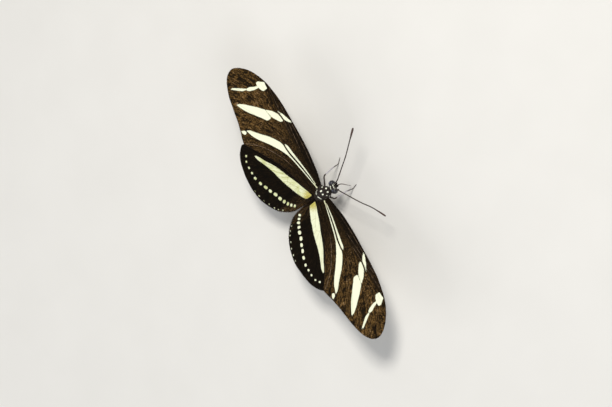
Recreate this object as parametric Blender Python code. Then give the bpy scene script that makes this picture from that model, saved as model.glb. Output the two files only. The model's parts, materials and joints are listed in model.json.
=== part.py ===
# Zebra longwing butterfly, life size, standing on its feet with the wings held open.
#
# +X is the butterfly's left, -Y is forward, +Z is up, and the floor is at z = 0.
# Sizes are in millimetres and become metres where a mesh is made.
# On the body a place is (forward, left, height), measured from the middle of the line
# that joins the two forewing hinges. On a wing a place is (outward, forward), measured
# from the wing's own hinge.

import math

import bmesh
import bpy
import numpy as np
from mathutils import Matrix, Vector
from mathutils.geometry import delaunay_2d_cdt

MM = 0.001
GAP = 0.3                      # clear space kept between two pieces that touch

HINGE_HEIGHT = 11.0            # wing hinges above the floor
ORIGIN_LEFT = -0.05            # hinge line's middle, measured from the origin
ORIGIN_BACK = 0.37
FLOOR = 0.0
SHARP_ANGLE = math.radians(50.0)
WELD = 0.002                   # points of a mesh closer than this are one
CDT_WELD = 0.0001              # the same on a wing's flat plan

# Wings
HINGE_OFFSET = 2.2             # hinge to the body's mid line
DIHEDRAL = math.radians(7.0)
WING_THICKNESS = 0.5
WING_SPACING = 1.1             # forewing's middle surface over the hindwing's
SPAN_ARCH = 0.6
SPAN = 47.0
CHORD_FALL = 0.25              # drop of the surface at CHORD_REACH from the chord's middle
CHORD_REACH = 10.0
CHORD_MIDDLE = -3.0
VEIN_HALF_WIDTH = 0.38
VEIN_HEIGHT = 0.14
VEIN_STEP = 2.3
EDGE_STEP = 1.7
VEIN_END_CLEAR = 0.7           # veins fade out this near the margin
CREST_CLEAR = 0.25             # crests of two veins that join
FOOT_CLEAR = 0.34              # foot of one vein to the crest of another
FOOT_EDGE_CLEAR = 0.5          # foot of a vein to the margin
FORE_TURN = {"l": math.radians(0.7), "r": math.radians(-0.7)}
HIND_TURN = {"l": math.radians(-1.4), "r": math.radians(1.4)}
HIND_SHIFT = {"l": 0.6, "r": -0.6}

FORE_OUTLINE = [
    (-1.4, 0.5), (1.4, 1.35), (4.5, 2.15), (9.0, 3.05), (14.0, 3.65), (20.0, 4.0), (27.0, 4.2),
    (32.0, 3.85), (36.2, 3.0), (39.8, 1.5), (42.5, -0.5), (44.2, -2.6), (44.7, -4.4), (43.9, -6.4),
    (42.0, -8.0), (39.2, -9.3), (36.1, -10.2), (33.0, -10.9), (30.1, -11.6), (27.2, -12.5),
    (25.2, -13.3), (23.6, -13.6), (21.6, -12.4), (19.0, -10.8), (15.0, -8.5), (11.1, -6.6),
    (7.3, -5.5), (3.5, -4.5), (0.3, -3.6), (-1.4, -2.8)]
HIND_OUTLINE = [
    (-1.4, -1.6), (2.5, -1.9), (7.0, -3.2), (13.0, -5.8), (18.5, -8.6), (22.4, -11.2), (24.0, -13.7),
    (23.1, -15.4), (21.4, -16.9), (19.5, -17.9), (17.2, -18.65), (14.8, -19.2), (12.4, -19.6),
    (9.9, -19.65), (7.8, -19.4), (5.9, -18.95), (4.35, -18.35), (2.9, -17.6), (1.6, -16.75),
    (0.5, -15.65), (-0.5, -14.4), (-1.3, -13.1), (-1.8, -11.8), (-2.0, -10.4), (-2.0, -9.0),
    (-1.9, -7.4), (-1.6, -5.8), (-1.6, -4.0)]

FORE_VEINS = {
    "subcosta": [(-0.5, 0.35), (6.0, 1.75), (13.0, 2.85), (20.5, 3.55)],
    "radius": [(-0.5, -0.1), (5.0, 0.75), (11.0, 1.35), (17.3, 1.3), (27.0, 0.9)],
    "radius_1": [(12.0, 1.4), (19.0, 2.45), (27.5, 3.75)],
    "radius_2": [(17.3, 1.3), (25.0, 2.35), (33.0, 3.35)],
    "radius_3": [(27.0, 0.9), (33.5, 1.9), (39.0, 1.5)],
    "radius_4": [(27.0, 0.9), (36.5, 0.2), (43.7, -2.8)],
    "radius_5": [(31.0, 0.75), (38.0, -1.5), (44.2, -5.0)],
    "media_1": [(17.2, 0.7), (28.0, -1.3), (36.0, -4.4), (41.8, -7.7)],
    "media_2": [(16.9, -0.4), (24.0, -2.9), (31.0, -6.2), (37.2, -9.6)],
    "media_3": [(16.6, -1.2), (22.5, -4.0), (28.0, -7.6), (32.9, -10.6)],
    "cell_end": [(17.3, 1.3), (17.2, 0.7), (16.9, -0.4), (16.6, -1.2), (16.3, -1.9)],
    "cubitus": [(-0.6, -0.45), (4.2, -0.45), (7.4, -0.7), (10.1, -1.05), (13.2, -1.6), (16.3, -1.9)],
    "cubitus_1": [(16.3, -1.9), (19.8, -4.1), (24.0, -7.7), (28.4, -11.8)],
    "cubitus_2": [(10.6, -1.1), (14.0, -3.4), (18.6, -6.5), (23.0, -9.8), (25.4, -12.6)],
    "anal": [(-0.6, -2.2), (6.0, -3.2), (12.0, -4.4), (18.5, -7.8), (22.0, -11.0), (23.5, -13.0)]}
HIND_VEINS = {
    "subcosta": [(-0.8, -2.4), (6.0, -3.8), (14.0, -7.2), (20.5, -10.9), (23.2, -13.6)],
    "radius": [(-0.8, -3.1), (4.0, -4.6), (12.0, -8.6), (18.0, -13.0), (21.8, -16.1)],
    "media_1": [(7.0, -5.9), (13.0, -10.9), (18.2, -16.2), (19.3, -17.5)],
    "media_2": [(7.4, -7.0), (11.2, -12.0), (14.4, -16.6), (15.6, -18.6)],
    "media_3": [(6.6, -8.0), (9.0, -12.6), (10.3, -16.0), (11.0, -19.2)],
    "cell_end": [(7.0, -5.9), (7.4, -7.0), (6.6, -8.0)],
    "cubitus": [(-0.9, -3.9), (3.2, -6.2), (5.2, -7.4), (6.6, -8.0)],
    "cubitus_1": [(5.2, -7.4), (6.2, -11.5), (6.7, -14.6), (7.0, -18.9)],
    "cubitus_2": [(3.2, -6.2), (3.3, -10.0), (3.1, -13.4), (3.0, -17.2)],
    "anal_2": [(-0.9, -4.6), (0.0, -8.5), (0.6, -12.0), (0.8, -15.6)],
    "anal_3": [(-1.1, -5.2), (-1.15, -9.0), (-1.0, -13.0)]}

# Body: (forward, height, half width, half depth) of each ring, front to back
THORAX_RINGS = [
    (2.1, -1.45, 0.75, 0.85), (1.8, -1.35, 1.25, 1.35), (1.15, -1.15, 1.85, 1.9), (0.35, -1.0, 2.25, 2.25),
    (-0.6, -1.0, 2.35, 2.35), (-1.6, -1.15, 2.2, 2.2), (-2.5, -1.45, 1.8, 1.9), (-3.2, -1.8, 1.3, 1.45),
    (-3.65, -2.15, 0.85, 0.95)]
THORAX_SIDES = 22
THORAX_STEP = 0.5
THORAX_FRONT_TIP = 0.35        # the rounded ends reach this far past the last rings
THORAX_BACK_TIP = 0.3

HEAD_CENTRE = (3.25, -0.05, -1.75)
HEAD_HALF = (1.1, 1.0, 1.2)
HEAD_YAW = math.radians(-10.0)
EYE_OFFSET = (0.1, 1.2, 0.1)
EYE_HALF = (1.05, 0.95, 1.15)

ABDOMEN_START = (-3.95, -2.75)
ABDOMEN_LENGTH = 16.8
ABDOMEN_SLOPES = (44.0, 10.5)          # degrees below level, at its root and at its tip
ABDOMEN_SEGMENTS = 9
ABDOMEN_RADII = [0.85, 1.2, 1.36, 1.38, 1.36, 1.32, 1.26, 1.15, 0.95, 0.62]
ABDOMEN_GROOVE = 0.11
ABDOMEN_SIDES = 16
ROWS_PER_SEGMENT = 4

ANTENNA_PATHS = {
    "l": [(3.95, 0.3, -0.95), (5.5, 0.55, -0.75), (6.75, 1.05, -0.4), (10.0, 2.9, 0.5), (13.15, 4.8, 1.2),
          (16.8, 7.4, 2.1), (20.5, 10.0, 3.0)],
    "r": [(3.75, -0.7, -0.9), (4.9, -2.2, -0.5), (9.1, -8.7, 0.0), (11.5, -12.0, 0.0), (12.9, -14.4, 0.0),
          (14.2, -16.9, 0.0)]}
ANTENNA_SHAFT = 0.25
ANTENNA_CLUB = 0.42
CLUB_START = 0.8
CLUB_PEAK = 0.93
ANTENNA_STEP = 0.8

PALP_PATH = [(3.6, 0.36, -2.35), (4.35, 0.38, -2.4), (4.9, 0.38, -1.8), (5.15, 0.36, -1.1)]
PALP_RADII = [0.3, 0.34, 0.3, 0.14]
PALP_STEP = 0.3
PROBOSCIS_PATH = [(3.5, 0.0, -2.7), (4.15, 0.05, -3.05), (4.75, 0.0, -3.6), (5.0, -0.1, -4.6),
                  (5.0, -0.35, -6.4), (4.85, -0.55, -8.4), (4.6, -0.6, -10.45)]
PROBOSCIS_RADII = [0.3, 0.29, 0.27, 0.26, 0.25, 0.24, 0.17]

# Fore and hind legs are alike on both sides and drawn for the left one
LEG_PATHS = {
    "foreleg": [(1.0, 0.8, -2.6), (2.5, 0.95, -3.55), (3.3, 0.95, -4.1), (2.6, 0.9, -4.75),
                (1.6, 0.85, -5.2)],
    "midleg_l": [(-0.5, 0.7, -2.7), (0.7, 2.2, -2.7), (1.9, 4.0, -2.25), (2.35, 4.7, -2.6), (2.9, 5.4, -4.4),
                 (3.7, 6.3, -7.1), (4.15, 6.85, -9.4), (4.5, 7.25, -10.6), (5.1, 7.8, -10.78),
                 (5.8, 8.4, -10.78)],
    "midleg_r": [(-0.5, -0.7, -2.7), (0.5, -1.9, -2.6), (1.5, -2.95, -2.1), (1.95, -3.1, -2.35),
                 (2.8, -2.75, -4.2), (3.9, -2.2, -6.6), (4.4, -1.95, -9.2), (4.75, -1.75, -10.55),
                 (5.3, -1.55, -10.78), (6.0, -1.35, -10.78)],
    "hindleg": [(-1.9, 0.7, -2.8), (-3.2, 2.4, -3.4), (-4.5, 4.3, -3.5), (-5.0, 4.9, -3.9),
                (-6.0, 5.8, -5.7), (-7.4, 6.9, -8.3), (-8.3, 7.6, -10.0), (-8.9, 8.0, -10.7),
                (-9.6, 8.4, -10.78), (-10.4, 8.8, -10.78)]}
LEG_RADII = [0.4, 0.42, 0.32, 0.3, 0.28, 0.27, 0.26, 0.25, 0.25, 0.22]
FORELEG_RADII = [0.34, 0.32, 0.28, 0.26, 0.2]
TUBE_SIDES = 8
TUBE_STEP = 0.62

COLOURS = {
    "black": ((0.012, 0.010, 0.008), 0.7),
    "wing_black": ((0.022, 0.016, 0.012), 0.75),
    "eye": ((0.03, 0.03, 0.04), 0.25),
    "horn": ((0.02, 0.016, 0.014), 0.45)}


def clear_scene():
    for old in list(bpy.data.objects):
        bpy.data.objects.remove(old, do_unlink=True)


def finish_colour(name, key):
    colour, roughness = COLOURS[key]
    material = bpy.data.materials.new(name)
    material.use_nodes = True
    shader = material.node_tree.nodes["Principled BSDF"]
    shader.inputs["Base Color"].default_value = (*colour, 1.0)
    shader.inputs["Roughness"].default_value = roughness
    shader.inputs["Metallic"].default_value = 0.0
    return material


def mirrored(path, side):
    """A body path drawn for the left, on the left (1) or on the right (-1)."""
    return [(forward, left * side, height) for forward, left, height in path]


def body_point(forward, left, height):
    """A place on the body, in metres in the model's own frame."""
    return Vector((ORIGIN_LEFT + left, ORIGIN_BACK - forward, HINGE_HEIGHT + height)) * MM


def smooth_curve(points, step):
    """Points about a step apart on a Catmull-Rom curve through the given points."""
    given = [np.array(p, float) for p in points]
    given = [2 * given[0] - given[1]] + given + [2 * given[-1] - given[-2]]
    curve = []
    for a, b, c, d in zip(given, given[1:], given[2:], given[3:]):
        pieces = max(1, round(np.linalg.norm(c - b) / step))
        for i in range(pieces):
            t = i / pieces
            curve.append(0.5 * (2 * b + (c - a) * t + (2 * a - 5 * b + 4 * c - d) * t * t
                                + (3 * b - a - 3 * c + d) * t ** 3))
    curve.append(given[-2])
    return curve


def share_along(curve):
    """How far along the curve each of its points is, from 0 to 1."""
    steps = [0.0] + [float(np.linalg.norm(b - a)) for a, b in zip(curve, curve[1:])]
    total = np.cumsum(steps)
    return total / total[-1]


def mesh_from(name, points, faces):
    mesh = bpy.data.meshes.new(name)
    mesh.from_pydata([tuple(p) for p in points], [], faces)
    mesh.update()
    work = bmesh.new()
    work.from_mesh(mesh)
    bmesh.ops.triangulate(work, faces=work.faces[:])
    bmesh.ops.recalc_face_normals(work, faces=work.faces[:])
    work.to_mesh(mesh)
    work.free()
    return mesh


def ring_mesh(name, rings, front_tip, back_tip):
    """One closed skin over rings of equal count, pointed at both ends."""
    sides = len(rings[0])
    points = [p for ring in rings for p in ring] + [front_tip, back_tip]
    front, back = len(points) - 2, len(points) - 1
    last = (len(rings) - 1) * sides
    faces = []
    for i in range(sides):
        j = (i + 1) % sides
        faces.append((front, j, i))
        faces.append((back, last + i, last + j))
        for k in range(len(rings) - 1):
            a = k * sides
            faces.append((a + i, a + j, a + sides + j, a + sides + i))
    return mesh_from(name, points, faces)


def tube_mesh(name, curve, radii, sides, round_end=0.6, rest_on_floor=False):
    """A round limb along a curve, its frame carried on without twist."""
    curve = [Vector(p) for p in curve]
    ways = [(b - a).normalized() for a, b in zip([curve[0]] + curve[:-1], curve[1:] + [curve[-1]])]
    side = ways[0].orthogonal().normalized()
    rings = []
    for centre, way, radius in zip(curve, ways, radii):
        side = (side - way * side.dot(way)).normalized()
        other = way.cross(side)
        turn = [math.tau * i / sides for i in range(sides)]
        rings.append([centre + (side * math.cos(a) + other * math.sin(a)) * radius for a in turn])
    front_tip = curve[0] - ways[0] * radii[0] * round_end
    back_tip = curve[-1] + ways[-1] * radii[-1] * round_end
    if rest_on_floor:
        for ring in rings:
            for point in ring:
                point.z = max(point.z, FLOOR)
        back_tip.z = max(back_tip.z, FLOOR)
    return ring_mesh(name, rings, front_tip, back_tip)


def ball_mesh(name, centre, half, turn, segments=20, rows=12, grow=0.0):
    """An ellipsoid given by its half sizes forward, sideways and up."""
    work = bmesh.new()
    bmesh.ops.create_uvsphere(work, u_segments=segments, v_segments=rows, radius=1.0)
    forward, sideways, up = (h + grow for h in half)
    shape = Matrix.Diagonal((sideways * MM, forward * MM, up * MM, 1.0))
    bmesh.ops.transform(work, matrix=Matrix.Translation(centre) @ turn @ shape, verts=work.verts[:])
    bmesh.ops.triangulate(work, faces=work.faces[:])
    mesh = bpy.data.meshes.new(name)
    work.to_mesh(mesh)
    work.free()
    return mesh


def keep_largest(mesh):
    """Leave only the largest closed surface of a mesh."""
    work = bmesh.new()
    work.from_mesh(mesh)
    bmesh.ops.remove_doubles(work, verts=work.verts[:], dist=WELD * MM)
    bmesh.ops.dissolve_degenerate(work, edges=work.edges[:], dist=WELD * MM)
    unseen = set(work.verts)
    groups = []
    while unseen:
        start = unseen.pop()
        group, front = {start}, [start]
        while front:
            for edge in front.pop().link_edges:
                for vert in edge.verts:
                    if vert not in group:
                        group.add(vert)
                        front.append(vert)
        unseen -= group
        groups.append(group)
    groups.sort(key=len)
    scraps = [vert for group in groups[:-1] for vert in group]
    bmesh.ops.delete(work, geom=scraps, context="VERTS")
    bmesh.ops.triangulate(work, faces=work.faces[:])
    work.to_mesh(mesh)
    work.free()


def trimmed(name, mesh, cutters):
    """The mesh with each cutter taken out of it."""
    part = bpy.data.objects.new(name, mesh)
    bpy.context.scene.collection.objects.link(part)
    for cutter_mesh in cutters:
        cutter = bpy.data.objects.new(name + "_cutter", cutter_mesh)
        cutter.hide_render = True
        cutter.display_type = "WIRE"
        bpy.context.scene.collection.objects.link(cutter)
        cut = part.modifiers.new("clearance", "BOOLEAN")
        cut.operation = "DIFFERENCE"
        cut.solver = "EXACT"
        cut.object = cutter
        seen = bpy.context.evaluated_depsgraph_get()
        result = bpy.data.meshes.new_from_object(part.evaluated_get(seen))
        part.modifiers.clear()
        part.data = result
        bpy.data.objects.remove(cutter, do_unlink=True)
    keep_largest(part.data)
    part.data.name = name
    return part


def thorax_mesh(grow):
    """The thorax, lofted over its rings; grow thickens it on every side."""
    rings = []
    places = smooth_curve(THORAX_RINGS, THORAX_STEP)
    for forward, height, half_width, half_depth in places:
        ring = []
        for i in range(THORAX_SIDES):
            turn = math.tau * i / THORAX_SIDES
            left = (half_width + grow) * math.cos(turn)
            up = (half_depth + grow) * math.sin(turn)
            ring.append(body_point(forward, left, height + up))
        rings.append(ring)
    first, last = places[0], places[-1]
    front_tip = body_point(first[0] + THORAX_FRONT_TIP + grow, 0.0, first[1])
    back_tip = body_point(last[0] - THORAX_BACK_TIP - grow, 0.0, last[1])
    return ring_mesh("thorax", rings, front_tip, back_tip)


def abdomen_mesh(grow):
    """Nine ringed segments that droop from the thorax until the tip lies on the floor."""
    count = ABDOMEN_SEGMENTS * ROWS_PER_SEGMENT
    step = ABDOMEN_LENGTH / count
    forward, height = ABDOMEN_START
    curve, radii = [], []
    for i in range(count + 1):
        share = i / count
        slope = math.radians(ABDOMEN_SLOPES[0] + (ABDOMEN_SLOPES[1] - ABDOMEN_SLOPES[0]) * share)
        curve.append(body_point(forward, 0.0, height))
        forward -= step * math.cos(slope)
        height -= step * math.sin(slope)
        place = share * (len(ABDOMEN_RADII) - 1)
        radius = np.interp(place, range(len(ABDOMEN_RADII)), ABDOMEN_RADII)
        groove = ABDOMEN_GROOVE if i % ROWS_PER_SEGMENT == 0 and 0 < i < count else 0.0
        radii.append((radius - groove + grow) * MM)
    return tube_mesh("abdomen", curve, radii, ABDOMEN_SIDES, rest_on_floor=grow == 0.0)


def head_turn():
    return Matrix.Rotation(HEAD_YAW, 4, "Z")


def head_mesh(grow):
    forward, left, height = HEAD_CENTRE
    return ball_mesh("head", body_point(forward, left, height), HEAD_HALF, head_turn(), 20, 14, grow)


def eye_mesh(side):
    """The outer part of a ball, hollowed on its inner side by the head."""
    forward, left, height = EYE_OFFSET
    away = Vector((left * side, -forward, height)) * MM
    centre = body_point(*HEAD_CENTRE) + head_turn() @ away
    return ball_mesh("eye", centre, EYE_HALF, head_turn(), 18, 12)


def limb_mesh(name, path, path_radii, step=TUBE_STEP, grow=0.0, rest_on_floor=False):
    curve = smooth_curve([body_point(*p) / MM for p in path], step)
    given = share_along([np.array(body_point(*p)) / MM for p in path])
    radii = np.interp(share_along(curve), given, path_radii)
    return tube_mesh(name, [Vector(p) * MM for p in curve], [(r + grow) * MM for r in radii],
                     TUBE_SIDES, rest_on_floor=rest_on_floor)


def antenna_mesh(side):
    """A thin shaft that widens to a club and ends in a blunt tip."""
    curve = smooth_curve([body_point(*p) / MM for p in ANTENNA_PATHS[side]], ANTENNA_STEP)
    radii = np.interp(share_along(curve), [0.0, CLUB_START, CLUB_PEAK, 1.0],
                      [ANTENNA_SHAFT, ANTENNA_SHAFT, ANTENNA_CLUB, ANTENNA_SHAFT])
    return tube_mesh("antenna", [Vector(p) * MM for p in curve], [r * MM for r in radii], TUBE_SIDES)


def smooth_outline(points, step):
    """Points about a step apart along an outline that stays open across the root."""
    return [p[:2] for p in smooth_curve([(*p, 0.0) for p in points], step)]


def vein_lines(veins):
    """Each vein as points about a step apart."""
    return [[p[:2] for p in smooth_curve([(*p, 0.0) for p in line], VEIN_STEP)] for line in veins.values()]


def distance_to_lines(point, lines):
    """Shortest way from a point to any of the lines."""
    best = math.inf
    for line in lines:
        a, b = line[:-1], line[1:]
        way = b - a
        share = np.clip(((point - a) * way).sum(1) / (way * way).sum(1), 0.0, 1.0)
        best = min(best, float(np.sqrt((((a + way * share[:, None]) - point) ** 2).sum(1)).min()))
    return best


def wing_height(out, forward):
    """The wing's gentle arch along its span and its fall to the front and back edges."""
    arch = SPAN_ARCH * math.sin(math.pi * min(max(out, 0.0), SPAN) / SPAN)
    return arch - CHORD_FALL * ((forward - CHORD_MIDDLE) / CHORD_REACH) ** 2


def wing_mesh(name, outline_points, veins, lower, turn, shift, side):
    """A membrane whose two faces share one set of triangles, with its veins raised on both."""
    outline = smooth_outline(outline_points, EDGE_STEP)
    lines = [np.array(line) for line in vein_lines(veins)]
    points = [Vector(p) for p in outline]
    edges = [(i, (i + 1) % len(outline)) for i in range(len(outline))]
    edge_line = [np.array(outline + outline[:1])]
    for number, line in enumerate(lines):
        others = lines[:number]
        before = None
        for k, crest in enumerate(line):
            way = line[min(k + 1, len(line) - 1)] - line[max(k - 1, 0)]
            way = way / np.linalg.norm(way)
            if distance_to_lines(crest, edge_line) < VEIN_END_CLEAR:
                before = None
                continue
            if not (others and distance_to_lines(crest, others) < CREST_CLEAR):
                points.append(Vector(crest))
                if before is not None:
                    edges.append((before, len(points) - 1))
                before = len(points) - 1
            else:
                before = None
            across = np.array((-way[1], way[0])) * VEIN_HALF_WIDTH
            for foot in (crest + across, crest - across):
                rest = [other for other in lines if other is not line]
                if distance_to_lines(foot, edge_line) < FOOT_EDGE_CLEAR:
                    continue
                if distance_to_lines(foot, rest) > FOOT_CLEAR:
                    points.append(Vector(foot))
    region = [list(range(len(outline)))]
    flat, _, triangles, _, _, _ = delaunay_2d_cdt(points, edges, region, 1, CDT_WELD)

    tilt = Matrix.Rotation(-side * DIHEDRAL, 4, "Y")
    top, bottom = [], []
    for point in flat:
        out, forward = point.x, point.y
        near = distance_to_lines(np.array(point), lines)
        ridge = VEIN_HEIGHT * max(0.0, 1.0 - near / VEIN_HALF_WIDTH)
        ridge *= min(1.0, distance_to_lines(np.array(point), edge_line) / VEIN_END_CLEAR)
        half = WING_THICKNESS / 2 + ridge
        middle = wing_height(out, forward) - lower
        turned_out = out * math.cos(turn) - forward * math.sin(turn)
        turned_forward = out * math.sin(turn) + forward * math.cos(turn)
        for face, height in ((top, middle + half), (bottom, middle - half)):
            place = tilt @ Vector((side * turned_out, -turned_forward, height))
            hinge = Vector((side * HINGE_OFFSET + side * shift + ORIGIN_LEFT, ORIGIN_BACK, HINGE_HEIGHT))
            face.append((place + hinge) * MM)
    count = len(flat)
    faces = [tuple(t) for t in triangles]
    faces += [tuple(count + i for i in reversed(t)) for t in triangles]
    rim = boundary_edges(triangles)
    faces += [(b, a, count + a, count + b) for a, b in rim]
    return mesh_from(name, top + bottom, faces)


def boundary_edges(triangles):
    """The directed edges that only one triangle has."""
    directed = {(t[i], t[(i + 1) % 3]) for t in triangles for i in range(3)}
    return [(a, b) for a, b in directed if (b, a) not in directed]


def add_node(name, mesh, cutters, colour):
    node = trimmed(name, mesh, cutters)
    node.data.materials.clear()
    node.data.materials.append(finish_colour(name + "_finish", colour))
    node.data.shade_smooth()
    node.data.set_sharp_from_angle(angle=SHARP_ANGLE)
    return node


def build():
    clear_scene()
    root = bpy.data.objects.new("butterfly", None)
    bpy.context.scene.collection.objects.link(root)
    nodes = [add_node("thorax", thorax_mesh(0.0), [], "black")]
    nodes.append(add_node("abdomen", abdomen_mesh(0.0), [thorax_mesh(GAP)], "black"))
    nodes.append(add_node("head", head_mesh(0.0), [thorax_mesh(GAP)], "black"))
    for label, side in (("l", 1), ("r", -1)):
        nodes.append(add_node("eye_" + label, eye_mesh(side), [head_mesh(GAP), thorax_mesh(GAP)], "eye"))
        nodes.append(add_node("antenna_" + label, antenna_mesh(label), [head_mesh(GAP)], "horn"))
        palp = limb_mesh("palp", mirrored(PALP_PATH, side), PALP_RADII, PALP_STEP)
        nodes.append(add_node("palp_" + label, palp, [head_mesh(GAP)], "black"))
        fore = wing_mesh("wing_fore", FORE_OUTLINE, FORE_VEINS, 0.0, FORE_TURN[label], 0.0, side)
        nodes.append(add_node("wing_fore_" + label, fore, [thorax_mesh(GAP)], "wing_black"))
        hind = wing_mesh("wing_hind", HIND_OUTLINE, HIND_VEINS, WING_SPACING, HIND_TURN[label],
                         HIND_SHIFT[label], side)
        around = [thorax_mesh(GAP), abdomen_mesh(GAP)]
        nodes.append(add_node("wing_hind_" + label, hind, around, "wing_black"))
        for kind, radii in (("foreleg", FORELEG_RADII), ("midleg", LEG_RADII), ("hindleg", LEG_RADII)):
            path = LEG_PATHS.get(kind + "_" + label) or mirrored(LEG_PATHS[kind], side)
            leg = limb_mesh("leg", path, radii, rest_on_floor=kind != "foreleg")
            nodes.append(add_node(kind + "_" + label, leg, [thorax_mesh(GAP), head_mesh(GAP)], "horn"))
    palps = [limb_mesh("palp", mirrored(PALP_PATH, side), PALP_RADII, PALP_STEP, GAP) for side in (1, -1)]
    proboscis = limb_mesh("proboscis", PROBOSCIS_PATH, PROBOSCIS_RADII)
    nodes.append(add_node("proboscis", proboscis, [head_mesh(GAP)] + palps, "horn"))
    for node in nodes:
        node.parent = root
    for spare in [mesh for mesh in bpy.data.meshes if mesh.users == 0]:
        bpy.data.meshes.remove(spare)
    return nodes


build()
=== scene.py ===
# %% [markdown]
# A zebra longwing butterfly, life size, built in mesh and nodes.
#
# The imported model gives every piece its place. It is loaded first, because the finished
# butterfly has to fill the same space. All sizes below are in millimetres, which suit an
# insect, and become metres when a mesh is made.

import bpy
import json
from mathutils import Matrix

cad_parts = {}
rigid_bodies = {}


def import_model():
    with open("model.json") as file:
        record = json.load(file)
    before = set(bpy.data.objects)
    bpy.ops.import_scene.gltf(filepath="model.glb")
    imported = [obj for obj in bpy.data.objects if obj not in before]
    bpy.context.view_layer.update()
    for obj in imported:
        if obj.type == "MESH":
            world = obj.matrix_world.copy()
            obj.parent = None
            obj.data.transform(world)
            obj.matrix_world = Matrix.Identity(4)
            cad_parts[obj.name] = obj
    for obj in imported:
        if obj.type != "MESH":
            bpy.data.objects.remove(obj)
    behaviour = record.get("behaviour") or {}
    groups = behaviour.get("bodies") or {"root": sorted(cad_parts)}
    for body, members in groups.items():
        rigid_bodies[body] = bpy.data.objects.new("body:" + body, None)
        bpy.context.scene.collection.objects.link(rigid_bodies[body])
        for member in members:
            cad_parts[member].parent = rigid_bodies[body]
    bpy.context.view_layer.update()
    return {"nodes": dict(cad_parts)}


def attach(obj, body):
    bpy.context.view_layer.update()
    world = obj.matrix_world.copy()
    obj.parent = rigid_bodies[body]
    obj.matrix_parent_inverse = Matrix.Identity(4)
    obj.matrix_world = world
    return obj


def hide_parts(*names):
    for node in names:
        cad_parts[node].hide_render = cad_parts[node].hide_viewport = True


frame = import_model()

import json
import math

import bpy
import numpy as np
from mathutils import Matrix, Vector
from mathutils.geometry import delaunay_2d_cdt

MM = 0.001
SIDES = {"l": 1, "r": -1}
HINGE = (-0.05, 0.37, 11.0)          # middle of the line that joins the forewing hinges
draw = np.random.default_rng(7)
print("packed pieces:", len(frame["nodes"]))

# %% [markdown]
# The camera stands where the photographer's stood, once the butterfly is set level: high
# up, to the front and a little to its right. A long lens from half a metre keeps the wings
# nearly free of perspective. Its three axes are written out, because the picture is also
# rolled by almost a right angle.

# %% Camera
camera_data = bpy.data.cameras.new("camera")
camera_data.lens = 100.0
camera_data.sensor_width = 36.0
camera_data.clip_start = 0.01
camera_data.clip_end = 20.0
camera = bpy.data.objects.new("camera", camera_data)
bpy.context.scene.collection.objects.link(camera)
CAMERA_RIGHT = Vector((-0.47848, -0.73995, -0.47279))
CAMERA_UP = Vector((0.85015, -0.52513, -0.03851))
CAMERA_PLACE = Vector((-112.255, -208.324, 461.524)) * MM
turn = Matrix((CAMERA_RIGHT, CAMERA_UP, CAMERA_RIGHT.cross(CAMERA_UP))).transposed()
camera.matrix_world = Matrix.Translation(CAMERA_PLACE) @ turn.to_4x4()
bpy.context.scene.camera = camera
print("camera at", [round(v, 3) for v in CAMERA_PLACE])

# %% [markdown]
# Shader sums read best as sums. A socket is wrapped in a small class whose operators add
# Math nodes, so `0.5 + mask * 2` builds two of them. Every other node comes from one
# method, which first applies the node's settings and then fills or links its sockets.

# %% Shader sums as Python
def linear(red, green, blue):
    """A colour picked on a screen, 0 to 255, as the linear light a shader wants."""
    parts = [v / 255.0 for v in (red, green, blue)]
    return tuple(v / 12.92 if v <= 0.04045 else ((v + 0.055) / 1.055) ** 2.4 for v in parts)


class Wire:
    """A socket of a material, used like a number."""

    def __init__(self, tree, socket=None):
        self.tree = tree
        self.socket = socket

    def node(self, kind, settings=None, values=None, out=0):
        made = self.tree.nodes.new("ShaderNode" + kind)
        for key, value in (settings or {}).items():
            setattr(made, key, value)
        for key, value in (values or {}).items():
            port = made.inputs[key]
            if isinstance(value, Wire):
                self.tree.links.new(value.socket, port)
            elif isinstance(value, tuple) and len(value) == 3 and port.type == "RGBA":
                port.default_value = (*value, 1.0)
            else:
                port.default_value = value
        return Wire(self.tree, made.outputs[out])

    def math(self, operation, *values):
        return self.node("Math", {"operation": operation}, dict(enumerate(values)))

    def __add__(self, other):
        return self.math("ADD", self, other)

    def __sub__(self, other):
        return self.math("SUBTRACT", self, other)

    def __rsub__(self, other):
        return self.math("SUBTRACT", other, self)

    def __mul__(self, other):
        return self.math("MULTIPLY", self, other)

    __radd__ = __add__

    def at_most(self, other):
        return self.math("MINIMUM", self, other)

    def step(self, low, high):
        """0 below low, 1 above high and a smooth ramp between."""
        return self.node("MapRange", {"interpolation_type": "SMOOTHSTEP"},
                         {"Value": self, "From Min": low, "From Max": high})

    def stretched(self, along):
        """A place scaled by its own amount along each axis."""
        return self.node("VectorMath", {"operation": "MULTIPLY"}, {0: self, 1: along})

    def noise(self, scale, detail=2.0, rough=0.5):
        values = {"Vector": self, "Scale": scale, "Detail": detail, "Roughness": rough}
        return self.node("TexNoise", {}, values)

    def cells(self, scale, out="Distance", random=1.0):
        return self.node("TexVoronoi", {}, {"Vector": self, "Scale": scale, "Randomness": random}, out)

    def cell_tone(self, scale, random=1.0):
        """A number from 0 to 1 that is even over each cell."""
        colour = self.cells(scale, out="Color", random=random)
        return colour.node("SeparateColor", {}, {"Color": colour}, "Red")


print("shader sums ready")

# %% [markdown]
# A finish is one material with one main shader. What is the same all over is set on the
# shader's own sockets, and only what varies is linked to it. Most of what varies is stored
# at the points of the mesh or follows its own frame, so it stays on the piece however the
# piece is turned.

# %% Finishes and what they read
def mixed(share, one, other):
    """From the first colour to the other as share goes from 0 to 1."""
    return share.node("Mix", {"data_type": "RGBA"}, {0: share, 6: one, 7: other}, 2)


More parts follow.
